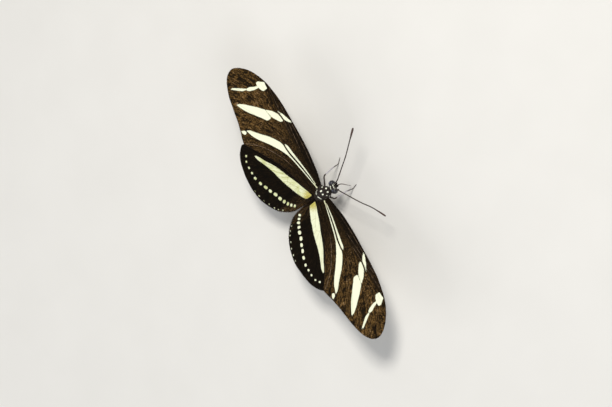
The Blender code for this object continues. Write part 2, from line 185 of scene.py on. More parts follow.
def finish(name, **constants):
    """A new material, the wire to build on, and its main shader with its constant sockets set."""
    material = bpy.data.materials.new(name)
    material.use_nodes = True
    shader = material.node_tree.nodes["Principled BSDF"]
    for socket, value in constants.items():
        shader.inputs[socket.replace("_", " ")].default_value = value
    return material, Wire(material.node_tree), shader


def feed(shader, **wires):
    """Link what varies over the surface to the main shader."""
    for socket, wire in wires.items():
        wire.tree.links.new(wire.socket, shader.inputs[socket.replace("_", " ")])


def stored(wire, name, out="Fac"):
    """A value that the mesh carries at its points."""
    return wire.node("Attribute", {"attribute_name": name}, {}, out)


def place_in_mm(wire):
    """The place on the piece, in millimetres of the model's own frame."""
    place = wire.node("TexCoord", {}, {}, "Object")
    return place.stretched((1000.0, 1000.0, 1000.0))


def bumped(height, depth_mm, strength):
    """A bump whose full height of 1 stands for so many millimetres."""
    return height.node("Bump", {}, {"Strength": strength, "Distance": depth_mm * MM, "Height": height})


print("finish helpers ready")

# %% [markdown]
# A plain pale floor, as on a photographer's table, with the faintest change of tone, since
# a dead flat colour looks false. It belongs to the picture and not to the butterfly.

# %% Floor
FLOOR_HALF = 1500.0
FLOOR_CORNERS = ((-1, -1), (1, -1), (1, 1), (-1, 1))
FLOOR_TONES = ((0.62, 0.61, 0.58), (0.66, 0.65, 0.62))

floor_mesh = bpy.data.meshes.new("floor")
corners = [(x * FLOOR_HALF * MM, y * FLOOR_HALF * MM, 0.0) for x, y in FLOOR_CORNERS]
floor_mesh.from_pydata(corners, [], [(0, 1, 2, 3)])
floor = bpy.data.objects.new("floor", floor_mesh)
bpy.context.scene.collection.objects.link(floor)
floor_finish, wire, shader = finish("floor_paint", Roughness=0.9)
feed(shader, Base_Color=mixed(place_in_mm(wire).noise(0.05), *FLOOR_TONES))
floor_mesh.materials.append(floor_finish)
print("floor of", 2 * FLOOR_HALF, "mm")

# %% [markdown]
# Three soft lamps light the table. The key lamp is the smallest, so that it still draws a
# shadow edge and small glints on the scales. The others and the pale surroundings only
# lift the shadows.

# %% Lamps
def lamp(name, place_mm, size_mm, watts, colour):
    """A square lamp that faces the butterfly."""
    data = bpy.data.lights.new(name, "AREA")
    data.size = size_mm * MM
    data.energy = watts
    data.color = colour
    made = bpy.data.objects.new(name, data)
    made.location = Vector(place_mm) * MM
    made.rotation_euler = (-made.location).to_track_quat("-Z", "Y").to_euler()
    bpy.context.scene.collection.objects.link(made)


lamp("key", (150.0, -260.0, 520.0), 150.0, 3.0, (1.0, 0.97, 0.92))
lamp("fill", (-420.0, -120.0, 360.0), 420.0, 1.1, (0.93, 0.96, 1.0))
lamp("back", (60.0, 460.0, 330.0), 320.0, 1.1, (1.0, 1.0, 1.0))
world = bpy.data.worlds.new("studio")
world.use_nodes = True
world.node_tree.nodes["Background"].inputs["Color"].default_value = (0.93, 0.95, 1.0, 1.0)
world.node_tree.nodes["Background"].inputs["Strength"].default_value = 0.3
bpy.context.scene.world = world
bpy.context.scene.view_settings.view_transform = "Standard"

# %% [markdown]
# Outlines, veins, limbs and feelers are all curves through a few points. Catmull-Rom
# curves are handy for this, because they pass through the points that are given. Marks
# and ridges then only need to know how far a place is from such a curve, or how deep it
# lies inside a closed one.

# %% Curves and distances
def smooth_curve(points, step, closed=False):
    """Points about a step apart on a Catmull-Rom curve through the given ones."""
    given = np.array(points, float)
    if closed:
        given = np.vstack([given[-1:], given, given[:2]])
    else:
        given = np.vstack([2 * given[0] - given[1], given, 2 * given[-1] - given[-2]])
    curve = []
    for a, b, c, d in zip(given, given[1:], given[2:], given[3:]):
        pieces = max(1, round(float(np.linalg.norm(c - b)) / step))
        for t in np.arange(pieces) / pieces:
            curve.append(0.5 * (2 * b + (c - a) * t + (2 * a - 5 * b + 4 * c - d) * t * t
                                + (3 * b - a - 3 * c + d) * t ** 3))
    if not closed:
        curve.append(given[-2])
    return np.array(curve)


def share_along(curve):
    """How far along the curve each of its points is, from 0 to 1."""
    run = np.concatenate([[0.0], np.cumsum(np.linalg.norm(np.diff(curve, axis=0), axis=1))])
    return run / run[-1]


def line_distance(places, line):
    """Shortest way from each place to a line of points."""
    best = np.full(len(places), np.inf)
    for a, b in zip(line, line[1:]):
        way = b - a
        share = np.clip(((places - a) @ way) / max(float(way @ way), 1e-12), 0.0, 1.0)
        best = np.minimum(best, np.linalg.norm(a + share[:, None] * way - places, axis=1))
    return best


def inside_distance(places, loop):
    """How deep each place lies inside a closed loop, below zero outside it."""
    x, y = places[:, 0], places[:, 1]
    inside = np.zeros(len(places), bool)
    for a, b in zip(loop, np.roll(loop, -1, axis=0)):
        if a[1] != b[1]:
            inside ^= ((a[1] > y) != (b[1] > y)) & (x < (b[0] - a[0]) * (y - a[1]) / (b[1] - a[1]) + a[0])
    away = line_distance(places, np.vstack([loop, loop[:1]]))
    return np.where(inside, away, -away)


def ease(value, low, high):
    share = np.clip((value - low) / (high - low), 0.0, 1.0)
    return share * share * (3.0 - 2.0 * share)


def swell(place, height, middle, half):
    """A soft hump of some height round a middle, about so wide to each side."""
    return height * np.exp(-((place - middle) / half) ** 2)


print("curve helpers ready")

# %% [markdown]
# Every piece is made the same way: points in millimetres become a mesh in metres, numbers
# are stored at its points for the finish to read, and the piece is set to ride on the
# imported body, where it hides the imported nodes that it stands for.

# %% A piece on the imported body
def make_piece(name, points, faces, material, stands_for=(), stored_values=None):
    mesh = bpy.data.meshes.new(name)
    mesh.from_pydata((np.asarray(points) * MM).tolist(), [], faces)
    for key, values in (stored_values or {}).items():
        values = np.asarray(values, float)
        kind = "FLOAT" if values.ndim == 1 else "FLOAT_VECTOR"
        layer = mesh.attributes.new(key, kind, "POINT")
        layer.data.foreach_set("value" if kind == "FLOAT" else "vector", values.ravel())
    mesh.materials.append(material)
    mesh.shade_smooth()
    made = bpy.data.objects.new(name, mesh)
    bpy.context.scene.collection.objects.link(made)
    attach(made, "root")
    if stands_for:
        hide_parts(*stands_for)
    print(name, len(mesh.polygons), "faces")
    return made


print("ready to make pieces")

# %% [markdown]
# Each wing is planned flat, as a lepidopterist would draw it: `outward` runs from the
# hinge to the tip and `forward` to the head, both in millimetres. The outline, the veins
# and the pale markings are a few points each, and curves join them. Left and right share
# one plan, which is then mirrored, turned and lifted into its place on the body.

# %% Plan of the forewing
FORE_OUTLINE = [
    (-1.4, 0.5), (1.4, 1.35), (4.5, 2.15), (9.0, 3.05), (14.0, 3.65), (20.0, 4.0), (27.0, 4.2),
    (32.0, 3.85), (36.2, 3.0), (39.8, 1.5), (42.5, -0.5), (44.2, -2.6), (44.7, -4.4), (43.9, -6.4),
    (42.0, -8.0), (39.2, -9.3), (36.1, -10.2), (33.0, -10.9), (30.1, -11.6), (27.2, -12.5),
    (25.2, -13.3), (23.6, -13.6), (21.6, -12.4), (19.0, -10.8), (15.0, -8.5), (11.1, -6.6),
    (7.3, -5.5), (3.5, -4.5), (0.3, -3.6), (-1.4, -2.8)]
FORE_VEINS = {
    "subcosta": [(-0.5, 0.35), (6.0, 1.75), (13.0, 2.85), (20.5, 3.55)],
    "radius": [(-0.5, -0.1), (5.0, 0.75), (11.0, 1.35), (17.3, 1.3), (27.0, 0.9)],
    "radius_1": [(12.0, 1.4), (19.0, 2.45), (27.5, 3.75)],
    "radius_2": [(17.3, 1.3), (25.0, 2.35), (33.0, 3.35)],
    "radius_3": [(27.0, 0.9), (33.5, 1.9), (39.0, 1.5)],
    "radius_4": [(27.0, 0.9), (36.5, 0.2), (43.7, -2.8)],
    "radius_5": [(31.0, 0.75), (38.0, -1.5), (44.2, -5.0)],
    "media_1": [(17.2, 0.7), (28.0, -1.3), (36.0, -4.4), (41.8, -7.7)],
    "media_2": [(16.9, -0.4), (24.0, -2.9), (31.0, -6.2), (37.2, -9.6)],
    "media_3": [(16.6, -1.2), (22.5, -4.0), (28.0, -7.6), (32.9, -10.6)],
    "cell_end": [(17.3, 1.3), (17.2, 0.7), (16.9, -0.4), (16.6, -1.2), (16.3, -1.9)],
    "cubitus": [(-0.6, -0.45), (4.2, -0.45), (7.4, -0.7), (10.1, -1.05), (13.2, -1.6), (16.3, -1.9)],
    "cubitus_1": [(16.3, -1.9), (19.8, -4.1), (24.0, -7.7), (28.4, -11.8)],
    "cubitus_2": [(10.6, -1.1), (14.0, -3.4), (18.6, -6.5), (23.0, -9.8), (25.4, -12.6)],
    "anal": [(-0.6, -2.2), (6.0, -3.2), (12.0, -4.4), (18.5, -7.8), (22.0, -11.0), (23.5, -13.0)]}
FORE_MARKS = {
    "tip_blotch": [
        (33.4, 1.2), (33.4, 2.7), (34.6, 2.75), (35.5, 2.95), (36.1, 2.2), (36.9, 1.3), (36.8, 0.5),
        (35.7, 0.3), (34.4, 0.65)],
    "tip_middle": [
        (35.1, 0.6), (35.3, -1.0), (35.9, -2.6), (36.5, -3.35), (37.1, -3.2), (37.0, -2.1),
        (36.3, -0.9), (35.7, 0.5)],
    "tip_narrow": [
        (36.8, -3.3), (37.2, -4.7), (38.3, -6.1), (39.9, -8.0), (40.0, -7.3), (39.1, -5.9),
        (38.2, -4.7), (37.2, -3.3)],
    "middle_large": [
        (25.3, -1.25), (25.3, -2.7), (27.2, -4.0), (29.2, -5.5), (31.0, -6.9), (32.8, -7.95),
        (35.0, -8.95), (34.6, -7.8), (33.4, -6.3), (32.0, -4.9), (30.7, -3.5), (29.4, -2.3),
        (28.5, -1.45), (27.0, -1.35)],
    "middle_small": [
        (28.5, -1.45), (26.8, 0.35), (25.2, 1.35), (24.0, 1.55), (22.4, 1.65), (22.7, 0.75),
        (24.2, -0.2), (25.4, -0.85), (26.8, -1.2)],
    "middle_front": [
        (26.3, 1.65), (24.4, 2.65), (22.7, 3.25), (20.3, 3.85), (21.6, 2.7), (22.5, 2.2),
        (24.3, 2.05)],
    "rear_spot": [(27.6, -12.2), (27.0, -11.0), (26.1, -10.8), (25.8, -11.6), (26.6, -12.15)],
    "long_band": [
        (26.7, -10.6), (26.2, -9.5), (24.9, -8.4), (23.2, -6.95), (21.3, -5.15), (19.4, -3.8),
        (17.6, -2.8), (16.5, -2.55), (15.3, -2.62), (13.7, -2.58), (11.2, -2.22), (8.7, -1.82),
        (5.6, -1.4), (3.0, -1.08), (1.4, -0.84), (0.2, -0.55), (-0.3, -0.5), (-0.4, -0.95),
        (1.5, -1.08), (3.0, -1.33), (6.0, -1.74), (8.3, -2.14), (10.7, -2.5), (12.9, -3.0),
        (14.5, -3.62), (16.1, -4.45), (18.5, -5.9), (20.4, -7.25), (22.1, -8.55), (24.1, -9.75)],
    "cell_line": [
        (16.6, -1.9), (15.5, -1.4), (13.3, -1.24), (11.4, -1.06), (8.9, -0.78), (6.3, -0.52),
        (3.8, -0.44), (1.2, -0.38), (1.2, -0.62), (3.8, -0.76), (6.2, -0.95), (8.7, -1.26),
        (11.0, -1.6), (13.4, -2.02), (15.7, -2.12)]}
# Middles of the dark line that parts the last two marks and of the thin parts of both
FORE_MIDDLES = [
    [(2.0, -0.8), (3.8, -0.97), (6.2, -1.2), (8.7, -1.54), (11.0, -1.9), (13.4, -2.3), (15.9, -2.36)],
    [(0.4, -0.8), (1.5, -0.97), (3.0, -1.21), (5.8, -1.58), (8.5, -2.0), (10.9, -2.37)],
    [(1.4, -0.5), (3.8, -0.6), (6.2, -0.74), (8.8, -1.02), (11.2, -1.33), (13.3, -1.63), (15.6, -1.78)]]
print("forewing:", len(FORE_VEINS), "veins,", len(FORE_MARKS), "marks")

# %% [markdown]
# The hindwing is short and round, and its marks are simpler: one broad band, a row of
# spots inside the margin and small dots on it. The band is an outline again. The spots are
# too many for that, so each is a place, a half length along the row and a half width, and
# one formula draws them all.

# %% Plan of the hindwing
HIND_OUTLINE = [
    (-1.4, -1.6), (2.5, -1.9), (7.0, -3.2), (13.0, -5.8), (18.5, -8.6), (22.4, -11.2), (24.0, -13.7),
    (23.1, -15.4), (21.4, -16.9), (19.5, -17.9), (17.2, -18.65), (14.8, -19.2), (12.4, -19.6),
    (9.9, -19.65), (7.8, -19.4), (5.9, -18.95), (4.35, -18.35), (2.9, -17.6), (1.6, -16.75),
    (0.5, -15.65), (-0.5, -14.4), (-1.3, -13.1), (-1.8, -11.8), (-2.05, -10.4), (-2.2, -9.0),
    (-2.45, -7.4), (-2.7, -5.8), (-2.8, -4.2), (-2.2, -2.5)]
HIND_VEINS = {
    "subcosta": [(-0.8, -2.4), (6.0, -3.8), (14.0, -7.2), (20.5, -10.9), (23.2, -13.6)],
    "radius": [(-0.8, -3.1), (4.0, -4.6), (12.0, -8.6), (18.0, -13.0), (21.8, -16.1)],
    "media_1": [(7.0, -5.9), (13.0, -10.9), (18.2, -16.2), (19.3, -17.5)],
    "media_2": [(7.4, -7.0), (11.2, -12.0), (14.4, -16.6), (15.6, -18.6)],
    "media_3": [(6.6, -8.0), (9.0, -12.6), (10.3, -16.0), (11.0, -19.2)],
    "cell_end": [(7.0, -5.9), (7.4, -7.0), (6.6, -8.0)],
    "cubitus": [(-0.9, -3.9), (3.2, -6.2), (5.2, -7.4), (6.6, -8.0)],
    "cubitus_1": [(5.2, -7.4), (6.2, -11.5), (6.7, -14.6), (7.0, -18.9)],
    "cubitus_2": [(3.2, -6.2), (3.3, -10.0), (3.1, -13.4), (3.0, -17.2)],
    "anal_2": [(-0.9, -4.6), (0.0, -8.5), (0.6, -12.0), (0.8, -15.6)],
    "anal_3": [(-1.1, -5.2), (-1.15, -9.0), (-1.0, -13.0)]}
HIND_BAND = [(-1.3, -3.9), (0.1, -4.2), (2.4, -5.0), (4.9, -5.75), (7.3, -6.65), (9.2, -7.3), (11.1, -7.95),
             (13.0, -8.8), (15.7, -10.4), (17.4, -11.2), (18.9, -12.1), (18.8, -12.5), (17.5, -12.3),
             (15.5, -11.5), (13.5, -10.75), (11.5, -10.2), (9.3, -9.8), (7.2, -9.35), (4.5, -8.55),
             (2.0, -7.8), (0.2, -7.0), (-1.2, -6.1)]
# Spots of the row inside the margin: place, half length along the row, half width
HIND_SPOTS = [
    (20.5, -14.85, 0.36, 0.3), (19.15, -15.9, 0.32, 0.28), (17.15, -16.35, 0.36, 0.3),
    (15.3, -16.5, 0.38, 0.32), (13.4, -16.6, 0.48, 0.42), (11.15, -16.1, 0.56, 0.44),
    (9.2, -15.35, 0.66, 0.46), (7.45, -14.75, 0.6, 0.46), (5.65, -13.95, 0.66, 0.52),
    (3.8, -13.45, 0.62, 0.54), (2.3, -12.85, 0.43, 0.57), (1.05, -12.25, 0.38, 0.56),
    (0.15, -11.5, 0.35, 0.54), (-0.75, -10.7, 0.36, 0.46)]
HIND_MARGIN_DOTS = [
    (10.3, -19.2), (8.4, -18.95), (6.3, -18.5), (4.5, -17.7), (2.65, -16.9), (1.5, -16.1), (0.5, -14.9)]
MARGIN_DOT = (0.25, 0.17)
SQUARENESS = 0.75                    # 1 makes the spots oval, less makes them square
print("hindwing:", len(HIND_VEINS), "veins,", len(HIND_SPOTS), "spots")

# %% [markdown]
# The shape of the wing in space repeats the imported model's: a rise of seven degrees, a
# gentle arch along the span and a fall towards both long edges. A real membrane is only a
# few hundredths of a millimetre thick, so the visible wing is a thin sheet in the middle
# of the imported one, the forewing a little lower and the hindwing a little higher, which
# lets them lie close together.

# %% From the plan into space
DIHEDRAL = math.radians(7.0)
HINGE_OFFSET = 2.2
SPAN_ARCH, SPAN = 0.6, 47.0                        # height of the arch and the length it spans
CHORD_FALL, CHORD_REACH, CHORD_CREST = 0.25, 10.0, -3.0    # fall at a reach from the crest
TURN = {"fore": 0.7, "hind": -1.4}                 # degrees, towards the tail where below zero
SHIFT = {"fore": 0.0, "hind": 0.6}                 # both hindwings, towards the left
HIND_DROP = 1.1                                    # packed hindwing below the forewing
CLOSER = 0.17                                      # each visible wing towards the other
RISE = {"fore": -CLOSER, "hind": CLOSER - HIND_DROP}


def wing_place(plan, lift, kind, side):
    """Places on the plan, lifted off its middle surface, as places in space."""
    out, forward = plan[:, 0], plan[:, 1]
    turn_angle = math.radians(TURN[kind]) * side
    turned_out = out * math.cos(turn_angle) - forward * math.sin(turn_angle)
    turned_forward = out * math.sin(turn_angle) + forward * math.cos(turn_angle)
    arch = SPAN_ARCH * np.sin(np.pi * np.clip(out, 0.0, SPAN) / SPAN)
    height = arch - CHORD_FALL * ((forward - CHORD_CREST) / CHORD_REACH) ** 2 + RISE[kind] + lift
    across = side * turned_out
    cosine, sine = math.cos(DIHEDRAL), math.sin(DIHEDRAL)
    return np.column_stack([
        across * cosine - side * height * sine + side * HINGE_OFFSET + SHIFT[kind] + HINGE[0],
        HINGE[1] - turned_forward,
        side * across * sine + height * cosine + HINGE[2]])


tip = wing_place(np.array([max(FORE_OUTLINE)]), 0.0, "fore", SIDES["l"])[0]
print("left wing tip at", tip.round(1), "mm")

# %% [markdown]
# Marks and spots become closed outlines. Scales end in steps, not in a sharp drawn corner,
# so the corners of each mark are cut a little. A spot is a circle whose sine and cosine
# are raised to a power below 1, which makes it a soft square, turned to follow its row.

# %% Outlines of the marks
NET_STEP = 0.27
CORNER_CUT = 0.14                    # share of each side that is cut off at a corner
SPOT_SIDES, DOT_SIDES = 14, 10


def spot_loop(x, y, half_long, half_wide, heading, count):
    angle = np.arange(count) * math.tau / count
    round_one = np.column_stack([np.cos(angle), np.sin(angle)])
    along, across = (np.sign(round_one) * np.abs(round_one) ** SQUARENESS * (half_long, half_wide)).T
    return np.column_stack([x + along * math.cos(heading) - across * math.sin(heading),
                            y + along * math.sin(heading) + across * math.cos(heading)])


def cut_corners(loop):
    """A closed outline with its corners cut off a little, in even steps."""
    loop = np.array(loop, float)
    after = np.roll(loop, -1, axis=0)
    near, far = 1 - CORNER_CUT, CORNER_CUT
    loop = np.stack([loop * near + after * far, loop * far + after * near], axis=1).reshape(-1, 2)
    closed = np.vstack([loop, loop[:1]])
    run = np.concatenate([[0.0], np.cumsum(np.linalg.norm(np.diff(closed, axis=0), axis=1))])
    at = np.linspace(0.0, run[-1], max(8, round(run[-1] / (0.8 * NET_STEP))), endpoint=False)
    return np.column_stack([np.interp(at, run, closed[:, 0]), np.interp(at, run, closed[:, 1])])


def row_headings(spots):
    """The direction in which a row of spots runs past each of them."""
    centres = np.array([s[:2] for s in spots])
    ways = np.gradient(centres, axis=0)
    return np.arctan2(ways[:, 1], ways[:, 0])


def mark_loops(kind):
    """Closed outlines of all pale marks of a wing."""
    if kind == "fore":
        return [cut_corners(loop) for loop in FORE_MARKS.values()]
    loops = [cut_corners(HIND_BAND)]
    for (x, y, long, wide), heading in zip(HIND_SPOTS, row_headings(HIND_SPOTS)):
        loops.append(spot_loop(x, y, long, wide, heading, SPOT_SIDES))
    for (x, y), heading in zip(HIND_MARGIN_DOTS, row_headings(HIND_MARGIN_DOTS)):
        loops.append(spot_loop(x, y, *MARGIN_DOT, heading, DOT_SIDES))
    return loops


def mark_depth(places, kind):
    """How deep each place lies inside a pale mark, below zero outside them all."""
    return np.max([inside_distance(places, loop) for loop in mark_loops(kind)], axis=0)


print("marks:", {kind: len(mark_loops(kind)) for kind in ("fore", "hind")})

# %% [markdown]
# The plan is filled with an even net of points, and a Delaunay triangulation joins them.
# The outline, the crests of the veins and the edges of the pale marks are put into the net
# first, and the even points keep clear of them, so that ridges and marks stay crisp on a
# net that is coarse elsewhere.

# %% Net of a wing
NET_CLEAR = 0.11                     # least way between two lines of points
WELD = 1e-5


def filled_net(outline, lines, loops):
    """Points and triangles that fill the outline, with the lines and loops among them."""
    fixed = [tuple(p) for p in outline]
    edges = [(i, (i + 1) % len(outline)) for i in range(len(outline))]
    kept = []
    for line in lines + [np.vstack([loop, loop[:1]]) for loop in loops]:
        inner = line[inside_distance(line, outline) > NET_CLEAR]
        if kept:
            near = np.min([np.linalg.norm(inner - p, axis=1) for p in np.vstack(kept)], axis=0)
            inner = inner[near > NET_CLEAR]
        if len(inner):
            kept.append(inner)
            fixed += [tuple(p) for p in inner]
    low, high = outline.min(0), outline.max(0)
    rows = np.arange(low[1], high[1], NET_STEP * math.sqrt(0.75))
    grid = np.array([(x + (NET_STEP / 2 if k % 2 else 0.0), y) for k, y in enumerate(rows)
                     for x in np.arange(low[0], high[0], NET_STEP)])
    grid = grid[inside_distance(grid, outline) > 0.6 * NET_STEP]
    solid = np.vstack(kept)
    near = np.array([np.min(np.abs(solid - p).sum(1)) for p in grid])
    grid = grid[near > 0.75 * NET_STEP]
    points = [Vector(p) for p in fixed] + [Vector(p) for p in grid]
    made = delaunay_2d_cdt(points, edges, [list(range(len(outline)))], 1, WELD)
    return np.array([tuple(p) for p in made[0]]), [tuple(t) for t in made[2]]


print("net step", NET_STEP, "mm")

# %% [markdown]
# Streaks on a wing follow its veins, and the veins spread like the fingers of a hand. So
# each vein gets a rank, counted from the front of the wing to its back, and a point
# between two veins gets a rank between theirs, weighed by how near each is. Noise that is
# stretched along lines of even rank then makes streaks that bend with the veins.

# %% Flow between the veins
FLOW_ORDER = {
    "fore": {
        "subcosta": 0.0, "radius_1": 0.8, "radius_2": 1.5, "radius_3": 2.2, "radius": 2.5,
        "radius_4": 3.1, "radius_5": 4.0, "media_1": 5.0, "media_2": 6.0, "media_3": 7.0,
        "cubitus": 7.2, "cubitus_1": 8.0, "cubitus_2": 9.0, "anal": 10.0},
    "hind": {
        "subcosta": 0.0, "radius": 1.0, "media_1": 2.0, "media_2": 3.0, "media_3": 4.0,
        "cubitus": 4.6, "cubitus_1": 5.0, "cubitus_2": 6.0, "anal_2": 7.0, "anal_3": 8.0}}
FLOW_FINENESS = 9.0                  # streaks from one rank to the next
FLOW_SOFTNESS = 0.15
FLOW_HUB = (-3.0, -1.0)              # reach along the wing is measured from here


def vein_flow(net, veins, order):
    """Rank across the wing and reach along it, as a place for the noise to be drawn in."""
    pull = np.array([1.0 / (line_distance(net, veins[name]) + FLOW_SOFTNESS) ** 2 for name in order])
    rank = (np.array(list(order.values()))[:, None] * pull).sum(0) / pull.sum(0)
    reach = np.hypot(net[:, 0] - FLOW_HUB[0], net[:, 1] - FLOW_HUB[1])
    return np.column_stack([rank * FLOW_FINENESS, reach * 0.5, np.zeros(len(net))])


print("ranks:", {kind: len(order) for kind, order in FLOW_ORDER.items()})

# %% [markdown]
# Each point of the net notes how deep it lies inside a pale mark, how far it is from a
# vein and from the margin, how warm its brown is, and where the crimson and ochre of the
# wing's root are. The finish reads these numbers and draws edges finer than the net. The
# forewing is warm brown towards its tip, and its front edge and its root stay black.

# %% What each point of a wing knows
OUTLINES = {"fore": FORE_OUTLINE, "hind": HIND_OUTLINE}
VEINS = {"fore": FORE_VEINS, "hind": HIND_VEINS}
MIDDLES = {"fore": FORE_MIDDLES, "hind": []}
# veins that carry a painted glint
GLINTING_VEINS = {"fore": ("anal", "subcosta", "radius_1", "radius_2"), "hind": ("anal_3",)}
# Radius and places of the crimson spots on the underside
CRIMSON_SPOTS = {"fore": (0.55, ((1.0, 0.6), (1.6, -1.7))),
                 "hind": (0.5, ((0.6, -2.6), (1.2, -4.9), (2.6, -3.4)))}


def fore_tones(out, forward):
    costa = ease(forward - 0.03 * out, -0.2, 1.8) * (1.0 - ease(out, 36.0, 43.0))
    return {"warm": (0.18 + 0.82 * ease(out, 6.0, 30.0)) * (1.0 - 0.8 * costa),
            "ochre": 0.35 * (1.0 - ease(out, 0.8, 3.5)),
            # share of painted glint on the veins
            "line_share": np.where(forward < -2.0, ease(out, 8.0, 14.0), 0.45 * ease(out, 3.0, 12.0))}


def hind_tones(out, forward):
    return {"warm": 0.04 + 0.45 * (1.0 - ease(out, -2.0, 2.5)) * ease(-forward, 5.0, 9.0),
            "ochre": 1.0 - ease(np.hypot(out + 1.0, forward + 4.9), 0.6, 3.0),
            "line_share": np.full(len(out), 0.25)}


def wing_plan(kind):
    outline = smooth_curve(OUTLINES[kind], NET_STEP)
    veins = {name: smooth_curve(line, NET_STEP) for name, line in VEINS[kind].items()}
    middles = [smooth_curve(line, NET_STEP) for line in MIDDLES[kind]]
    net, triangles = filled_net(outline, middles + list(veins.values()), mark_loops(kind))
    out, forward = net[:, 0], net[:, 1]
    plan = {"net": net, "triangles": triangles, "outline": outline, "veins": list(veins.values())}
    plan["rim"] = np.vstack([outline, outline[:1]])
    plan["vein"] = np.min([line_distance(net, line) for line in plan["veins"]], axis=0)
    plan["edge"] = line_distance(net, plan["rim"])
    plan["pale"] = mark_depth(net, kind)
    plan["bright"] = np.min([line_distance(net, veins[name]) for name in GLINTING_VEINS[kind]], axis=0)
    plan["flow"] = vein_flow(net, veins, FLOW_ORDER[kind])
    plan["hind"] = np.full(len(net), float(kind == "hind"))
    radius, places = CRIMSON_SPOTS[kind]
    plan["red"] = np.max([radius - np.hypot(out - x, forward - y) for x, y in places], axis=0)
    plan.update(fore_tones(out, forward) if kind == "fore" else hind_tones(out, forward))
    print(kind, "net:", len(net), "points,", len(triangles), "triangles")
    return plan


plans = {kind: wing_plan(kind) for kind in ("fore", "hind")}

# %% [markdown]
# Wing scales are tiny flat plates in rows, a tenth of a millimetre long, each of one
# colour. A cell pattern, longer than wide, gives every scale its own tone and lets the
# edge of a band run from scale to scale instead of along a drawn line. The bands are pale
# yellow and ochre at the root, with fine folds and dark veins. A painted shade makes the
# hindwing's bands greener and darker, most on the left wing.

# %% Pale bands of the wings
PALE_YELLOW = (0.77, 0.79, 0.60)
PALE_OLIVE = (0.62, 0.65, 0.42)
# colour of the painted shade on the hindwing bands
BAND_SHADE = (0.47, 0.50, 0.22)
OCHRE = linear(178, 168, 88)
BAND_VEIN = linear(128, 120, 66)
BROWN_SCALES = linear(108, 81, 42)
SCALES_PER_MM = (9.0, 14.0, 1.0)     # along the wing, along its chord
SCALE_ORDER = 0.75                   # 1 scatters the cells freely, 0 sets them in a grid

wing_finish, wire, shader = finish("wing_scales", IOR=1.45, Specular_IOR_Level=0.04)
chart = stored(wire, "chart", "Vector")
flow = stored(wire, "flow", "Vector")
pale_depth = stored(wire, "pale")
vein_away = stored(wire, "vein")
hind = stored(wire, "hind")
scale_cells = chart.stretched(SCALES_PER_MM)
tone = scale_cells.cell_tone(1.0, SCALE_ORDER)
ragged = chart.noise(2.6, 3.0) - 0.5
fine_streak = flow.stretched((2.3, 1.6, 1.0)).noise(1.0, 2.0, 0.6)
band_streak = flow.stretched((0.45, 0.9, 1.0)).noise(1.0, 2.0)
pale = (pale_depth + ragged * 0.12 + (tone - 0.5) * 0.07).step(-0.035, 0.045)

band = mixed(tone * 0.22 + fine_streak.step(0.5, 0.75) * 0.12, PALE_YELLOW, PALE_OLIVE)
# painted shade on the hindwing bands, deepest on the left wing, in broad streaks
band = mixed(hind * (0.35 + band_streak.step(0.42, 0.6) * 0.5), band, BAND_SHADE)
band = mixed(stored(wire, "ochre"), band, OCHRE)
band = mixed((1.0 - vein_away.step(0.02, 0.11)) * (0.25 + hind * 0.25), band, BAND_VEIN)
dusting = tone.step(0.94, 0.97) * pale_depth.step(0.6, 0.0)
band = mixed(dusting * 0.5, band, BROWN_SCALES)
print("bands of the wings mixed")

# %% [markdown]
# The ground is black. Over the outer forewing its dark scales thin out and show warm
# brown, in fine streaks and specks along the veins. A few veins carry painted glints as
# broken tan lines, and single pale scales stray past the edges of the bands.

# %% Dark ground of the wings
BLACK_SCALES = (0.0032, 0.0024, 0.0015)
# tan of the brown specks, and also of the painted glint on the veins
TAN_AND_GLINT = linear(176, 148, 120)

streak = flow.noise(1.0, 3.0, 0.65)
speckle = chart.noise(2.4, 3.0, 0.7)
grain = streak * 0.6 + speckle * 0.4
warm = stored(wire, "warm")
brown_share = warm * (grain.step(0.46, 0.58) * 0.9 + 0.05)
brown_share = brown_share * (0.5 + tone * 0.7) * (0.3 + vein_away.step(0.04, 0.22) * 0.7)
ground = mixed(brown_share.at_most(1.0), BLACK_SCALES, BROWN_SCALES)
ground = mixed(warm * grain.step(0.57, 0.66) * 0.5, ground, TAN_AND_GLINT)
# painted highlight: broken tan glints along a few veins
line_break = chart.noise(1.1, 3.0).step(0.4, 0.58)
vein_line = 1.0 - stored(wire, "bright").step(0.015, 0.075)
glint = vein_line * (0.3 + line_break * 0.7) * stored(wire, "line_share")
ground = mixed(glint * 0.7, ground, TAN_AND_GLINT)
stray = tone.step(0.965, 0.98) * pale_depth.step(-0.35, 0.0)
ground = mixed(stray * 0.5, ground, PALE_YELLOW)
print("ground of the wings mixed")

# %% [markdown]
# The underside has the same pattern on a paler brown, with duller bands and small crimson
# spots near the root. One finish serves both faces of a wing, because the mesh says which
# face a point is on. The relief is that of the scales and streaks, a hundredth of a
# millimetre deep.

# %% Underside and relief of the wings
UNDER_BROWNS = (linear(52, 38, 30), linear(88, 66, 50))
UNDER_BANDS = (linear(226, 219, 186), linear(200, 188, 150))
CRIMSON = linear(150, 22, 30)

under_pale = mixed(tone * 0.3 + speckle.step(0.4, 0.7) * 0.2, *UNDER_BANDS)
under_ground = mixed(streak.step(0.3, 0.7) * 0.6 + tone * 0.3, *UNDER_BROWNS)
crimson = (stored(wire, "red") + ragged * 0.2).step(-0.03, 0.04)
under_colour = mixed(crimson, mixed(pale, under_ground, under_pale), CRIMSON)
top_colour = mixed(pale, ground, band)
dome = 1.0 - scale_cells.cells(1.0, random=SCALE_ORDER)
relief = tone * 0.5 + dome * 0.5 + fine_streak * 0.6
feed(shader, Base_Color=mixed(stored(wire, "under"), top_colour, under_colour),
     Roughness=0.66 + tone * 0.16 - pale * 0.06,
     Normal=bumped(relief, 0.012, 0.6))
print("nodes in the finish of the wings:", len(wing_finish.node_tree.nodes))

# %% [markdown]
# The sheet itself has an upper and a lower face that share one set of triangles. Veins
# stand up from it as fine ridges that taper to the margin, and the membrane sags a little
# between them, which makes a real wing catch light in long soft stripes. Along the margin
# it waves. The left hindwing's inner margin is raised a little to lie on the right one's.

